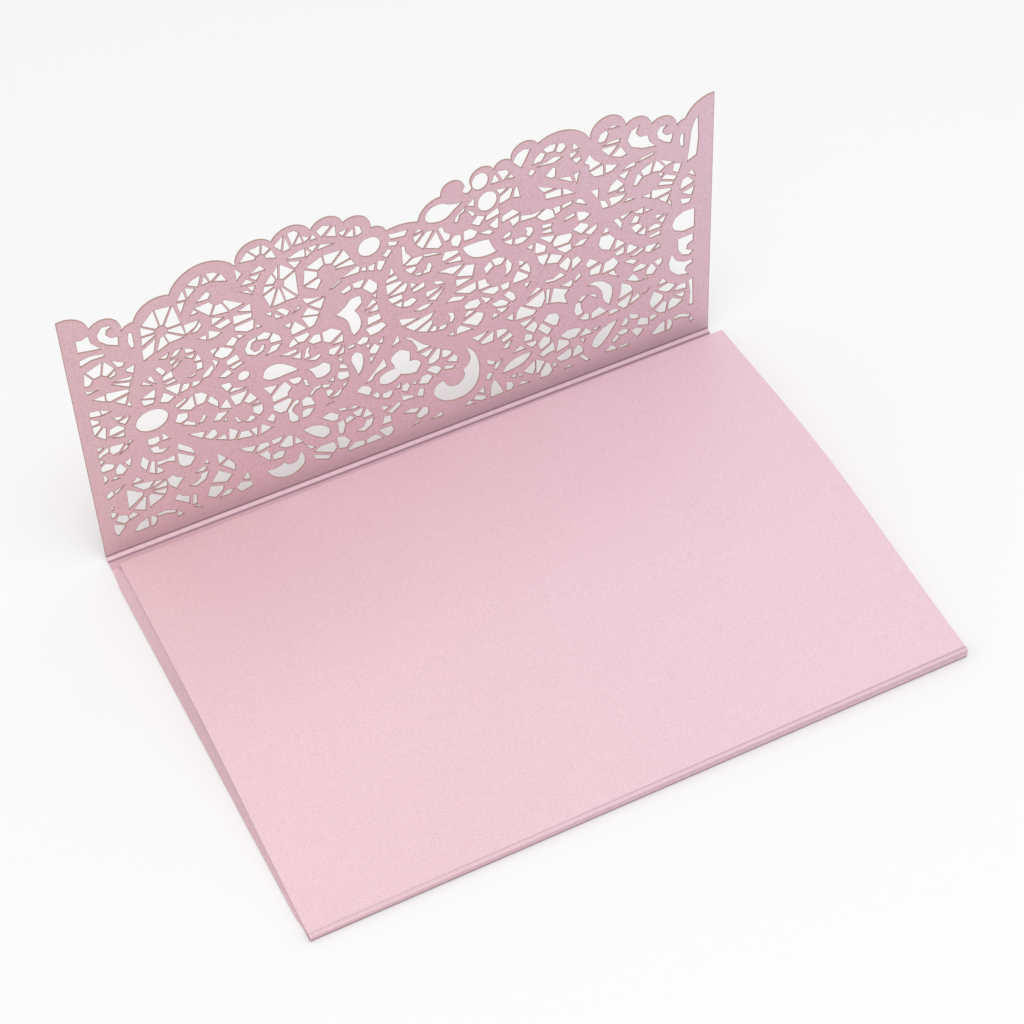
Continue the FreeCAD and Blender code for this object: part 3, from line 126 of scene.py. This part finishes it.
# The flap's lace is drawn in millimetres, across from its left edge and up from its
# crease.  Its middle plane starts at the crease and leans back a little.
MILLIMETRE = 0.001
FLAP_CREASE = (-0.0920, 0.06805, 0.001075)
FLAP_LEAN = math.radians(1.0)
PUNCH_REACH = 0.0006
KERF = 0.12
SHARP_REACH = 1.5
FINE_EYES = """
13.7,51.0 14.3,52.2 14.7,50.3
3.9,61.0 4.3,60.2 7.1,59.7 4.3,59.4
6.7,52.6 9.2,51.0 6.9,50.9
9.3,48.7 12.3,47.9 10.7,47.0
8.2,41.8 11.6,42.4 11.3,41.0
3.9,40.1 5.4,39.5 3.9,38.7
9.2,35.3 11.7,37.9 11.6,36.6
12.0,37.5 12.6,39.0 13.2,38.5
3.9,35.4 4.8,34.8 3.9,33.8
10.1,31.8 12.2,32.7 11.3,29.9
3.9,30.2 4.9,27.9 3.9,27.0
5.8,27.1 6.8,28.0 7.9,27.0
6.0,22.8 8.9,24.0 6.4,21.9
11.0,23.1 12.5,24.9 13.8,23.1
3.9,17.7 4.7,17.4 4.4,16.3
3.9,15.7 5.3,14.6 4.5,13.4 3.9,13.5
21.9,7.1 23.1,5.4 21.4,5.2
38.8,84.1 39.8,81.9 38.0,81.7
33.8,73.2 34.8,74.6 35.9,73.3
34.8,64.8 36.9,65.1 37.0,63.3
45.2,61.4 47.2,60.3 45.7,59.9
37.5,59.4 39.6,59.4 38.1,57.6
37.6,56.0 39.1,54.8 38.4,53.3
47.1,82.8 48.6,80.8 47.2,79.2
50.4,78.8 53.5,78.7 52.2,77.1
47.4,75.3 49.4,74.7 50.7,72.9
49.7,75.8 51.6,75.3 51.0,73.8
64.9,86.4 65.5,83.9 63.5,83.9
65.7,86.0 67.6,84.7 66.2,83.9
68.4,85.4 69.3,83.7 67.7,83.8
75.4,83.0 77.9,83.3 76.5,81.5
66.3,81.1 67.4,79.6 66.2,78.9
66.8,81.7 69.5,81.5 68.1,79.9
80.6,67.7 80.8,68.7 81.8,68.5 81.8,67.2
71.3,65.4 74.4,67.2 74.6,66.8 72.4,65.5
57.9,58.8 60.0,58.9 59.4,57.3
53.4,64.9 55.0,64.9 54.9,63.5
55.9,63.8 57.7,61.8 56.0,62.2
60.6,61.9 62.8,63.6 62.7,62.6
50.7,62.5 52.0,61.3 50.7,61.3
26.6,57.3 27.8,59.0 29.8,59.8 28.0,58.2
30.7,53.1 32.7,53.7 32.6,53.0 31.2,52.8
24.0,62.6 26.8,63.7 25.8,62.0
30.9,63.0 32.3,62.5 33.4,61.0 31.4,61.3
26.7,60.6 28.8,60.6 26.8,59.2
30.6,60.2 33.5,60.3 32.5,59.0
34.0,59.6 34.8,57.3 32.9,57.6
31.2,49.3 31.8,50.9 34.0,50.3 32.8,49.4
24.4,53.6 27.0,54.2 27.2,53.3 24.9,53.1
20.0,57.3 21.0,58.0 21.9,55.0
18.2,56.2 19.0,56.8 21.3,54.5
33.0,38.3 33.6,37.4 32.6,35.9 31.2,35.8 32.5,37.0
46.3,35.3 48.3,36.1 48.6,35.3
41.2,33.4 41.8,33.0 42.2,31.7 43.4,30.9 42.2,30.9
38.2,33.5 39.1,34.3 39.0,33.0
21.4,37.0 23.1,34.5 21.2,34.6
18.3,25.7 19.0,25.2 19.9,23.5 18.2,23.4
31.4,20.8 31.8,22.6 32.2,20.4
41.0,9.8 42.5,12.0 42.8,9.0
26.3,6.6 27.7,6.5 28.5,5.3
74.7,43.3 76.5,43.6 76.4,42.6 74.9,42.6
71.5,40.4 72.7,40.2 72.6,38.9
71.6,36.9 72.1,38.1 73.3,37.5 73.9,35.7
72.0,30.6 73.8,31.8 72.6,29.7
66.5,25.3 68.4,26.2 68.9,25.8
66.6,33.2 68.7,32.3 68.2,31.6 66.5,32.0
68.4,33.7 70.0,34.7 69.6,33.1
61.4,37.6 62.1,37.2 62.6,34.6 61.9,35.3
69.7,22.4 72.5,21.9 72.3,21.0 70.8,21.3
73.3,20.4 74.5,21.6 76.2,20.3
59.4,14.3 62.2,11.6 61.2,11.3
82.4,17.4 84.9,16.3 83.2,15.4
90.9,5.5 92.4,6.9 92.9,6.2
80.2,22.5 81.3,23.3 82.4,22.0 81.8,20.8
86.7,22.0 88.6,23.4 88.2,21.7
91.8,21.6 93.7,22.2 92.8,20.8
79.7,41.5 81.1,41.6 80.4,40.2
80.6,36.7 81.8,36.2 80.5,34.7
83.4,41.0 84.9,42.5 84.3,40.3
73.8,44.4 73.3,41.9 71.5,41.6
82.9,57.9 83.9,58.4 83.9,57.0
88.7,65.2 89.4,63.0 88.1,62.4
88.7,52.0 91.2,52.3 90.7,50.3
98.1,65.6 101.3,64.9 102.9,63.9 98.3,64.9
94.9,60.1 97.0,60.1 97.0,59.2 95.9,59.4
95.6,73.7 97.2,74.8 98.2,73.9
93.8,57.6 95.5,56.4 93.9,55.6
100.4,55.2 102.3,54.6 103.4,53.2 101.3,53.7
111.0,75.2 112.4,74.3 113.3,72.9 112.6,72.6 112.1,73.8
124.0,82.0 124.9,80.8 123.0,81.0
132.4,58.8 135.0,58.9 135.3,57.5 133.0,58.0
127.9,55.1 129.7,55.9 129.3,53.9
142.3,85.0 143.8,82.8 142.0,83.0
141.1,82.0 143.6,81.9 141.6,80.3
129.0,80.1 130.0,81.3 130.9,80.2 130.0,79.2
142.1,79.8 144.0,79.9 144.2,78.9 143.1,78.1
142.3,74.5 143.9,74.9 143.3,73.2 142.9,71.1
152.4,85.6 153.6,86.4 155.6,85.4
154.8,63.3 157.0,63.9 157.1,62.6
156.8,58.8 158.2,59.7 160.3,58.7
167.4,64.4 169.0,64.2 168.4,63.2
162.4,58.4 165.0,58.6 165.0,57.0
170.5,52.9 171.0,54.0 171.5,51.8
176.7,60.8 177.6,61.8 178.7,59.3
155.7,54.2 159.6,54.7 156.7,53.0
163.6,53.7 165.6,52.7 163.7,52.6
166.5,50.1 169.3,49.6 167.3,48.7
167.8,47.9 170.2,49.0 168.9,46.5
178.4,7.5 179.0,5.8 178.1,5.5
162.6,23.0 165.2,24.8 164.0,23.2
125.4,51.8 127.0,50.3 125.4,49.6
98.0,38.2 99.6,39.5 100.4,38.8 99.9,37.5
100.9,37.4 101.4,38.7 103.6,38.5 102.5,37.2
103.2,34.3 105.1,34.8 105.1,33.5
116.7,34.4 117.2,36.2 118.6,34.9
141.7,36.6 142.2,38.4 143.4,39.4 143.6,37.9
107.2,5.7 108.3,7.0 109.9,5.4
111.3,8.9 113.0,10.3 113.1,7.8
121.1,10.3 123.1,10.7 122.8,9.2
123.9,10.5 125.0,8.8 123.9,9.3
123.4,5.8 124.6,6.9 127.3,5.4
134.4,9.8 135.8,7.9 135.0,7.6
126.6,42.9 128.3,42.8 127.4,41.2
150.4,50.3 151.6,52.3 152.4,50.3
165.9,37.5 168.0,39.4 168.0,38.2
152.0,35.4 153.8,35.8 154.1,34.3 155.2,32.9 153.4,34.1
142.7,29.2 144.0,30.4 145.6,30.2 143.8,28.6
146.5,30.2 148.2,29.1 148.5,27.9 147.0,29.2
162.4,28.2 163.9,28.9 164.4,28.3
155.5,6.2 158.3,6.1 158.4,5.4 155.6,5.4
137.9,5.4 139.4,6.3 140.6,5.4
147.0,17.0 149.5,16.5 148.1,15.9
143.3,14.3 144.7,14.3 144.2,12.9
119.8,78.8 122.8,78.1 120.8,76.8
120.8,61.0 121.5,62.3 123.4,63.0 123.0,61.4
120.8,32.5 122.9,33.6 122.8,31.0
167.5,23.9 169.0,25.8 170.4,24.0
28.2,18.7 30.6,19.9 31.6,18.9 30.3,18.3
96.4,5.4 99.9,6.9 100.0,5.4
3.8,22.4 5.3,23.4 5.4,21.5 3.9,20.8
111.2,76.9 113.4,78.6 113.1,75.9
26.1,45.0 29.6,46.5 28.9,45.5 26.5,44.0
138.9,59.6 139.8,60.8 142.2,61.3 142.1,60.3
114.4,20.0 117.0,18.0 116.1,17.3 114.8,18.2
82.6,68.3 84.4,68.7 83.9,66.4 82.6,67.0
26.9,61.4 28.3,63.3 30.3,63.6 28.7,61.9
165.1,13.2 166.5,13.5 167.5,12.3 165.5,11.5
45.2,26.8 47.0,26.9 46.5,23.7
48.0,76.9 49.6,78.4 51.5,76.6
153.1,9.3 154.7,11.0 155.4,9.6 153.9,8.4
59.1,46.7 61.7,47.7 61.2,45.3
142.8,8.1 143.7,8.3 145.9,5.4 144.9,5.4
88.6,74.2 91.3,73.2 90.5,72.2 88.9,72.7
35.3,27.9 37.8,28.6 38.2,26.4
10.6,46.4 13.8,47.2 12.3,45.0
121.0,60.1 123.8,60.2 123.4,58.1
138.7,65.5 141.7,65.8 141.2,64.8 138.7,64.3
81.5,52.6 83.9,54.6 84.2,52.4
57.1,18.1 59.0,15.2 56.9,15.3
67.3,30.6 68.4,30.6 69.3,29.4 67.6,28.1
142.5,64.8 143.3,65.8 144.4,65.0 145.6,62.9
160.1,53.8 162.8,54.6 162.7,52.5 160.8,53.3
173.0,17.9 176.3,17.8 175.7,16.0
33.4,67.2 35.9,69.9 36.2,68.6 35.0,67.3
33.5,56.7 34.9,56.5 34.7,54.5 33.3,54.4
132.6,61.1 135.4,60.6 135.1,59.6 132.7,59.8
113.6,43.8 116.8,41.8 115.2,40.9
68.4,27.3 71.0,29.2 72.0,29.2 70.6,27.3
107.5,72.8 107.9,74.4 110.6,76.7 110.2,75.4 108.8,74.6 108.3,72.6
62.5,31.5 64.3,33.3 66.1,33.6 65.7,32.6 64.3,32.4 63.2,31.0
101.9,23.6 104.9,22.4 104.0,21.7 101.8,22.3
160.9,70.9 162.5,72.0 166.0,72.4 165.9,71.8
168.2,68.9 172.0,66.7 169.9,66.3
161.2,45.8 163.9,47.0 163.4,44.5
113.9,12.8 114.5,14.9 116.0,14.1 114.9,12.2
119.4,21.6 120.2,23.1 122.2,24.1 121.0,21.6
70.2,81.2 74.0,80.1 69.4,79.8
116.5,15.9 117.2,17.4 118.9,18.3 117.8,15.9 117.1,15.0
95.7,72.8 98.5,73.1 96.0,70.6
86.7,70.1 88.3,71.8 89.3,70.9 88.0,69.3
109.1,39.8 109.8,40.4 111.9,39.5 108.5,38.3
44.0,30.2 45.6,31.9 47.0,30.4 45.5,29.8
150.6,80.7 153.0,81.2 155.9,81.1 155.5,80.2
118.3,81.3 119.4,84.0 120.6,81.2
26.8,11.0 27.4,10.8 27.2,7.4 26.0,7.5
8.4,12.0 9.8,12.8 11.0,11.2 8.6,10.7
86.9,37.5 88.9,41.1 89.3,38.6
41.9,51.1 44.9,51.9 45.8,51.2 43.0,50.2
118.0,37.5 121.7,36.5 119.7,35.3
79.3,82.8 79.3,80.0 77.0,81.0
158.8,38.5 162.8,40.2 162.8,39.2 160.6,38.2
"""


class Value:
    """A number or colour on its way through a finish, with sums written as Python."""

    def __init__(self, finish, socket):
        self.finish = finish
        self.socket = socket

    def sum_of(self, operation, first, second):
        return self.finish.add("ShaderNodeMath", {"operation": operation}, {0: first, 1: second})

    def __add__(self, other):
        return self.sum_of("ADD", self, other)

    __radd__ = __add__

    def __sub__(self, other):
        return self.sum_of("SUBTRACT", self, other)

    def __rsub__(self, other):
        return self.sum_of("SUBTRACT", other, self)

    def __mul__(self, other):
        return self.sum_of("MULTIPLY", self, other)

    __rmul__ = __mul__

    def __lt__(self, other):
        return self.sum_of("LESS_THAN", self, other)

    def __gt__(self, other):
        return self.sum_of("GREATER_THAN", self, other)

    def size(self):
        return self.sum_of("ABSOLUTE", self, 0.0)

    def clamped(self, low, high):
        """From 0 at the low limit to 1 at the high one, and no further."""
        limits = {"From Min": low, "From Max": high, "To Min": 0.0, "To Max": 1.0}
        return self.finish.add("ShaderNodeMapRange", {"clamp": True}, {"Value": self, **limits})


class Finish:
    """The nodes of a material or of the room, added one call at a time."""

    def __init__(self, holder):
        holder.use_nodes = True
        self.holder = holder
        self.nodes = holder.node_tree.nodes
        self.links = holder.node_tree.links

    def add(self, kind, settings, inputs, output=0):
        node = self.nodes.new(kind)
        for setting, choice in settings.items():
            setattr(node, setting, choice)
        self.feed(node, inputs)
        return Value(self, node.outputs[output])

    def feed(self, node, inputs):
        for name, given in inputs.items():
            socket = node.inputs[name]
            if isinstance(given, Value):
                self.links.new(given.socket, socket)
            else:
                socket.default_value = given

    def surface(self, inputs):
        self.feed(self.nodes["Principled BSDF"], inputs)
        return self.holder

    def place(self, axis=None):
        """Object coordinates, or one of them by its letter."""
        where = self.add("ShaderNodeTexCoord", {}, {}, "Object")
        if axis is None:
            return where
        return self.add("ShaderNodeSeparateXYZ", {}, {"Vector": where}, axis)

    def stretched(self, scale):
        return self.add("ShaderNodeMapping", {}, {"Vector": self.place(), "Scale": scale})

    def attribute(self, name):
        return self.add("ShaderNodeAttribute", {"attribute_name": name}, {}, "Fac")

    def noise(self, where, scale, detail, roughness):
        values = {"Vector": where, "Scale": scale, "Detail": detail, "Roughness": roughness}
        return self.add("ShaderNodeTexNoise", {}, values, "Fac")

    def blend(self, amount, first, second):
        return self.add("ShaderNodeMix", {"data_type": "RGBA"}, {0: amount, 6: first, 7: second}, 2)

    def bump(self, height, strength, distance):
        values = {"Height": height, "Strength": strength, "Distance": distance}
        return self.add("ShaderNodeBump", {}, values)


def merged_copy(node, name):
    """A CAD node's mesh as its own piece, with its loose triangles joined up."""
    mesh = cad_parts[node].data.copy()
    mesh.name = name
    mesh.materials.clear()
    body = bmesh.new()
    body.from_mesh(mesh)
    bmesh.ops.remove_doubles(body, verts=body.verts, dist=WELD)
    for face in body.faces:
        face.smooth = True
    return mesh, body


def finished_piece(mesh, body, name, node, material):
    body.to_mesh(mesh)
    body.free()
    mesh.set_sharp_from_angle(angle=SMOOTH_FOLD)
    mesh.materials.append(material)
    piece = bpy.data.objects.new(name, mesh)
    bpy.context.scene.collection.objects.link(piece)
    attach(piece, "root")
    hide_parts(node)
    return piece


def on_flap(across, up, out):
    """A point of the lace drawing, in metres, out from the flap's middle plane."""
    left, back, low = FLAP_CREASE
    rise = up * MILLIMETRE
    return Vector((
        left + across * MILLIMETRE,
        back + rise * math.sin(FLAP_LEAN) + out * math.cos(FLAP_LEAN),
        low + rise * math.cos(FLAP_LEAN) - out * math.sin(FLAP_LEAN),
    ))


def widened(corners):
    """A drawn eye's corners, moved outward by the laser's kerf all round."""
    count = len(corners)
    drawn = [Vector(corner) for corner in corners]
    steps = [(drawn[index] - drawn[index - 1]).normalized() for index in range(count)]
    turn = sum(steps[index - 1].cross(steps[index]) for index in range(count))
    outward = -1.0 if turn > 0.0 else 1.0
    moved = []
    for index, here in enumerate(drawn):
        coming = steps[index].orthogonal()
        side = (coming + steps[(index + 1) % count].orthogonal()).normalized()
        reach = min(1.0 / side.dot(coming), SHARP_REACH)
        moved.append(here + side * (outward * KERF * reach))
    return moved


def fine_punches():
    """A short prism through the flap for each of its smallest eyes."""
    punches = bmesh.new()
    for line in FINE_EYES.strip().splitlines():
        corners = [[float(number) for number in pair.split(",")] for pair in line.split()]
        front = [punches.verts.new(on_flap(x, y, -PUNCH_REACH)) for x, y in widened(corners)]
        prism = punches.faces.new(front)
        grown = bmesh.ops.extrude_face_region(punches, geom=[prism])
        moved = [part for part in grown["geom"] if isinstance(part, bmesh.types.BMVert)]
        depth = on_flap(0.0, 0.0, PUNCH_REACH) - on_flap(0.0, 0.0, -PUNCH_REACH)
        bmesh.ops.translate(punches, verts=moved, vec=depth)
    bmesh.ops.recalc_face_normals(punches, faces=punches.faces)
    return punches


def loose_object(body, name):
    mesh = bpy.data.meshes.new(name)
    body.to_mesh(mesh)
    body.free()
    holder = bpy.data.objects.new(name, mesh)
    bpy.context.scene.collection.objects.link(holder)
    return holder


def punched(body):
    """The card with its smallest eyes cut through."""
    blank = loose_object(body, "blank")
    punches = loose_object(fine_punches(), "punches")
    cut = blank.modifiers.new("cut", "BOOLEAN")
    cut.operation = "DIFFERENCE"
    cut.solver = "MANIFOLD"
    cut.object = punches
    bpy.context.view_layer.update()
    drawn = blank.evaluated_get(bpy.context.evaluated_depsgraph_get())
    result = bmesh.new()
    result.from_mesh(drawn.data)
    for holder in (blank, punches):
        mesh = holder.data
        bpy.data.objects.remove(holder)
        bpy.data.meshes.remove(mesh)
    return result


def lace_walls(faces):
    """The walls that the laser cut, round the flap's openings and along its edge."""
    walls = []
    for face in faces:
        middle = face.calc_center_median()
        if middle.y < FLAP_CREASE[1] - BEFORE_FLAP or middle.z < FLAP_CREASE[2]:
            continue
        if abs(face.normal.y) < WALL_FACING:
            walls.append(face)
    return walls


def cut_directions(walls):
    """For each corner of the cut walls, the way from the cut into the card, mitred."""
    pull = {}
    for wall in walls:
        for corner in wall.loops:
            leaned = pull.get(corner.vert, Vector((0.0, 0.0, 0.0)))
            pull[corner.vert] = leaned - wall.normal * corner.calc_angle()
    inward = {}
    for wall in walls:
        for vertex in wall.verts:
            way = pull[vertex].normalized()
            reach = 1.0 / max(way.dot(-wall.normal), 1.0 / SHARP_REACH)
            inward[vertex] = way * reach
    return inward


def scorch_lace(body):
    """Marks the lace's cut walls as scorched and lays a fading rim along their edges."""
    body.normal_update()
    scorch = body.loops.layers.float.new("scorch")
    walls = lace_walls(body.faces)
    inward = cut_directions(walls)
    rims = []
    for wall in walls:
        for corner in wall.loops:
            corner[scorch] = 1.0
        for edge in wall.edges:
            for flat in edge.link_faces:
                if abs(flat.normal.y) > CARD_FACING:
                    rims.append((edge.verts[0], edge.verts[1], flat.normal.copy()))
    for first, second, facing in rims:
        lift = facing * RIM_LIFT
        corners = [
            first.co + lift,
            second.co + lift,
            second.co + lift + inward[second] * SCORCH_WIDTH,
            first.co + lift + inward[first] * SCORCH_WIDTH,
        ]
        rim = body.faces.new([body.verts.new(corner) for corner in corners])
        for corner, burn in zip(rim.loops, (1.0, 1.0, 0.0, 0.0)):
            corner[scorch] = burn
        rim.normal_update()
        if rim.normal.dot(facing) < 0.0:
            rim.normal_flip()


def mark_side_walls(body):
    """Marks the pocket's two side walls, which stand on the back panel's edges, for their painted
    shade.
    """
    side = body.loops.layers.float.new("side")
    for face in body.faces:
        middle = face.calc_center_median()
        at_edge = abs(middle.x) > SIDE_EDGE and middle.y < MOUTH_MIDDLE
        if at_edge and abs(face.normal.x) > SIDE_SLOPE:
            for corner in face.loops:
                corner[side] = 1.0


def pearl_sheen_and_side_shade(finish, back, fine):
    """The pearl's colour with its grain, a painted sheen where it is seen face on and painted shade
    on the side walls.
    """
    cloudy = finish.noise(finish.place(), CLOUD_SCALE, detail=2.0, roughness=0.5)
    # A painted sheen: lighter where the card is seen face on.
    weight = finish.add("ShaderNodeLayerWeight", {}, {"Blend": SHEEN_BLEND}, "Facing")
    facing = weight.clamped(*SHEEN_SPAN)
    rose = finish.blend(facing, ROSE_SHEEN_FACE_ON, ROSE_DEEP)
    lilac = finish.blend(facing, LILAC_SHEEN_FACE_ON, LILAC_DEEP)
    pearl = finish.blend(finish.place("X").clamped(-TINT_REACH, TINT_REACH), rose, lilac)
    coarse = (back > SPINE_BACK) * FLAP_MORE_GRAIN + CARD_GRAIN
    # Painted shade on the side walls.
    side = finish.attribute("side") * SIDE_WALL_SHADE
    grain = (cloudy - 0.5) * CLOUD_TONE + (fine - 0.5) * coarse + side + MAUVE_TONE
    return finish.blend(grain.clamped(0.0, 1.0), pearl, CARD_MAUVE)


def painted_crease_shade(finish, back):
    """How deep the painted shade is at the creases, the score line, the mouth, the fold and the
    foot of the front wall.
    """
    height = finish.place("Z")
    spine = ((back - SPINE_FRONT).size() < SPINE_HALF) * (height < SPINE_TOP)
    mouth = ((back - MOUTH_MIDDLE).size() < MOUTH_HALF) * (height < PANEL_TOP) * MOUTH_SHADOW
    foot = ((back - SPINE_BACK).size() < CREASE_HALF) * (height < FOOT_TOP) * FOOT_SHADE
    score = ((back - SCORE_BACK).size() < SCORE_HALF) * (height > SCORE_LOW) * SCORE_SHADE
    band = (back < SCORE_BACK) * (height > SCORE_LOW) * FOLD_BAND_SHADE
    # A painted contact shadow at the foot of the front wall.
    under = (back < SCORE_BACK) * (height < UNDER_TOP) * UNDER_SHADOW
    ridge = (back > SPINE_FRONT) * (height < FOOT_TOP) * RIDGE_SHADE
    return (spine + foot + score + mouth + band + under + ridge).clamped(0.0, 1.0)


def scorched(finish, clean):
    """A colour with the laser's ragged scorch over it."""
    ragged = finish.noise(finish.place(), RAGGED_SCALE, detail=2.0, roughness=0.6)
    burn = finish.attribute("scorch") * (ragged * RAGGED_DEPTH + RAGGED_LEAST)
    return finish.blend(burn.clamped(*BURN_SPAN) * BURN_TONE, clean, SCORCH_TAN)


def pearl_card():
    """Pearl coated card: a fine grain and a painted sheen over pink, with painted shade at its
    creases and folds and scorch where it is cut.
    """
    finish = Finish(bpy.data.materials.new("pearl card"))
    back = finish.place("Y")
    fine = finish.noise(finish.place(), FINE_SCALE, detail=2.0, roughness=0.6)
    sheened_and_shaded_pearl = pearl_sheen_and_side_shade(finish, back, fine)
    with_painted_shade = finish.blend(painted_crease_shade(finish, back), sheened_and_shaded_pearl, PAINTED_CREASE_SHADE)
    return finish.surface({
        "Base Color": scorched(finish, with_painted_shade),
        "Roughness": fine * PEARL_VARIES + PEARL_ROUGH,
        "Metallic": 0.10,
        "IOR": 1.5,
        "Coat Weight": 0.12,
        "Coat Roughness": 0.35,
        "Normal": finish.bump(fine, strength=0.12, distance=0.0002),
    })


def flatten_lace_and_sides(mesh):
    """Flat shading for the cut flap and the side walls, whose faces are flat."""
    for face in mesh.polygons:
        lace = face.center.z > FLAT_ABOVE and face.center.y > SPINE_BACK
        side = abs(face.center.x) > SIDE_EDGE and abs(face.normal.x) > SIDE_SLOPE
        face.use_smooth = not (lace or side)


jacket_mesh, jacket_body = merged_copy("lace_jacket", "folded_jacket")
jacket_body = punched(jacket_body)
scorch_lace(jacket_body)
mark_side_walls(jacket_body)
finished_piece(
    jacket_mesh, jacket_body, "folded_jacket", "lace_jacket", pearl_card()
)
flatten_lace_and_sides(jacket_mesh)

# ---- Card in the pocket ----
# A plain cut card, uncoated and a little off white, that lies loose on the back panel.
# Its fibres run from back to front.
INSERT_WHITE = (0.86, 0.845, 0.80, 1.0)
INSERT_SHADE = (0.80, 0.78, 0.73, 1.0)
FIBRE_STRETCH = (1.0, 0.35, 1.0)
FIBRE_SCALE = 1400.0
INSERT_ROUGH = 0.82
INSERT_VARIES = 0.1


def plain_card():
    finish = Finish(bpy.data.materials.new("plain card"))
    along = finish.stretched(FIBRE_STRETCH)
    fibres = finish.noise(along, FIBRE_SCALE, detail=3.0, roughness=0.6)
    return finish.surface({
        "Base Color": finish.blend(fibres, INSERT_WHITE, INSERT_SHADE),
        "Roughness": fibres * INSERT_VARIES + INSERT_ROUGH,
        "Normal": finish.bump(fibres, strength=0.2, distance=0.00015),
    })


insert_mesh, insert_body = merged_copy("invitation_card", "plain_card")
finished_piece(
    insert_mesh, insert_body, "plain_card", "invitation_card", plain_card()
)

# ---- Glue strips ----
# Thin double-sided tape, cloudy and slightly yellow, that holds the pocket front to the
# two side tabs.
TAPE_CREAM = (0.78, 0.76, 0.66, 1.0)
TAPE_CLEAR = (0.84, 0.83, 0.76, 1.0)
TAPE_CLOUDS = 300.0
TAPE_ROUGH = 0.35
TAPE_VARIES = 0.15


def tape():
    finish = Finish(bpy.data.materials.new("double-sided tape"))
    cloud = finish.noise(finish.place(), TAPE_CLOUDS, detail=2.0, roughness=0.5)
    return finish.surface({
        "Base Color": finish.blend(cloud, TAPE_CREAM, TAPE_CLEAR),
        "Roughness": cloud * TAPE_VARIES + TAPE_ROUGH,
    })


strip_tape = tape()
for strip in ("glue_strip_left", "glue_strip_right"):
    strip_mesh, strip_body = merged_copy(strip, strip + "_tape")
    finished_piece(strip_mesh, strip_body, strip + "_tape", strip, strip_tape)

# ---- Table, light and camera ----
# A wide white table under one soft overhead disk.  The room glows white all round, more
# from behind the object than from in front, and is plain white wherever it is seen.
TABLE_SIZE = 6.0
TABLE_DROP = 0.00005
TABLE_ROUGH = 0.8
TABLE_WHITE = (0.85, 0.85, 0.85, 1.0)
PLAIN_WHITE = (1.0, 1.0, 1.0, 1.0)
ROOM_GLOW = 0.75
BACK_GLOW = 0.18
SEEN_GLOW = 1.0
DISK_SIZE = 1.0
DISK_WATTS = 11.6
DISK_PLACE = (-0.05, -0.36, 1.6)
DISK_TARGET = (0.0, 0.0, 0.0)


def table_white():
    finish = Finish(bpy.data.materials.new("white table"))
    return finish.surface({"Base Color": TABLE_WHITE, "Roughness": TABLE_ROUGH})


def white_room():
    """The room's light, with plain white for what is seen, mirrored or looked through."""
    room = Finish(bpy.data.worlds.new("room"))
    way = room.add("ShaderNodeTexCoord", {}, {}, "Generated")
    behind = room.add("ShaderNodeSeparateXYZ", {}, {"Vector": way}, "Y")
    glow = room.nodes["Background"]
    room.feed(glow, {"Color": PLAIN_WHITE, "Strength": behind * BACK_GLOW + ROOM_GLOW})
    plain = {"Color": PLAIN_WHITE, "Strength": SEEN_GLOW}
    white = room.add("ShaderNodeBackground", {}, plain)
    seen = room.add("ShaderNodeLightPath", {}, {}, "Is Camera Ray")
    for kind in ("Is Glossy Ray", "Is Transmission Ray"):
        other = room.add("ShaderNodeLightPath", {}, {}, kind)
        seen = room.add("ShaderNodeMath", {"operation": "MAXIMUM"}, {0: seen, 1: other})
    lit = Value(room, glow.outputs["Background"])
    mixed = room.add("ShaderNodeMixShader", {}, {0: seen, 1: lit, 2: white})
    room.feed(room.nodes["World Output"], {"Surface": mixed})
    return room.holder


table_mesh = bpy.data.meshes.new("table")
table_body = bmesh.new()
bmesh.ops.create_grid(table_body, x_segments=1, y_segments=1, size=TABLE_SIZE / 2.0)
bmesh.ops.translate(table_body, verts=table_body.verts, vec=(0.0, 0.0, -TABLE_DROP))
table_body.to_mesh(table_mesh)
table_body.free()
table_mesh.materials.append(table_white())
table = bpy.data.objects.new("table", table_mesh)
bpy.context.scene.collection.objects.link(table)

bpy.context.scene.world = white_room()

disk = bpy.data.lights.new("overhead", "AREA")
disk.shape = "DISK"
disk.size = DISK_SIZE
disk.energy = DISK_WATTS
overhead = bpy.data.objects.new("overhead", disk)
overhead.location = DISK_PLACE
aim = Vector(DISK_TARGET) - Vector(DISK_PLACE)
overhead.rotation_euler = aim.to_track_quat("-Z", "Y").to_euler()
bpy.context.scene.collection.objects.link(overhead)

CAMERA_PLACE = (-0.1923, -0.4017, 0.5416)
CAMERA_TURN = (41.50, 1.43, -26.75)
CAMERA_LENS = 94.19
CAMERA_SENSOR = 36.0
CAMERA_NEAREST = 0.01
lens = bpy.data.cameras.new("camera")
lens.lens = CAMERA_LENS
lens.sensor_width = CAMERA_SENSOR
lens.clip_start = CAMERA_NEAREST
camera = bpy.data.objects.new("camera", lens)
camera.location = CAMERA_PLACE
camera.rotation_euler = [math.radians(angle) for angle in CAMERA_TURN]
bpy.context.scene.collection.objects.link(camera)
bpy.context.scene.camera = camera

view = bpy.context.scene.view_settings
view.view_transform = "Standard"
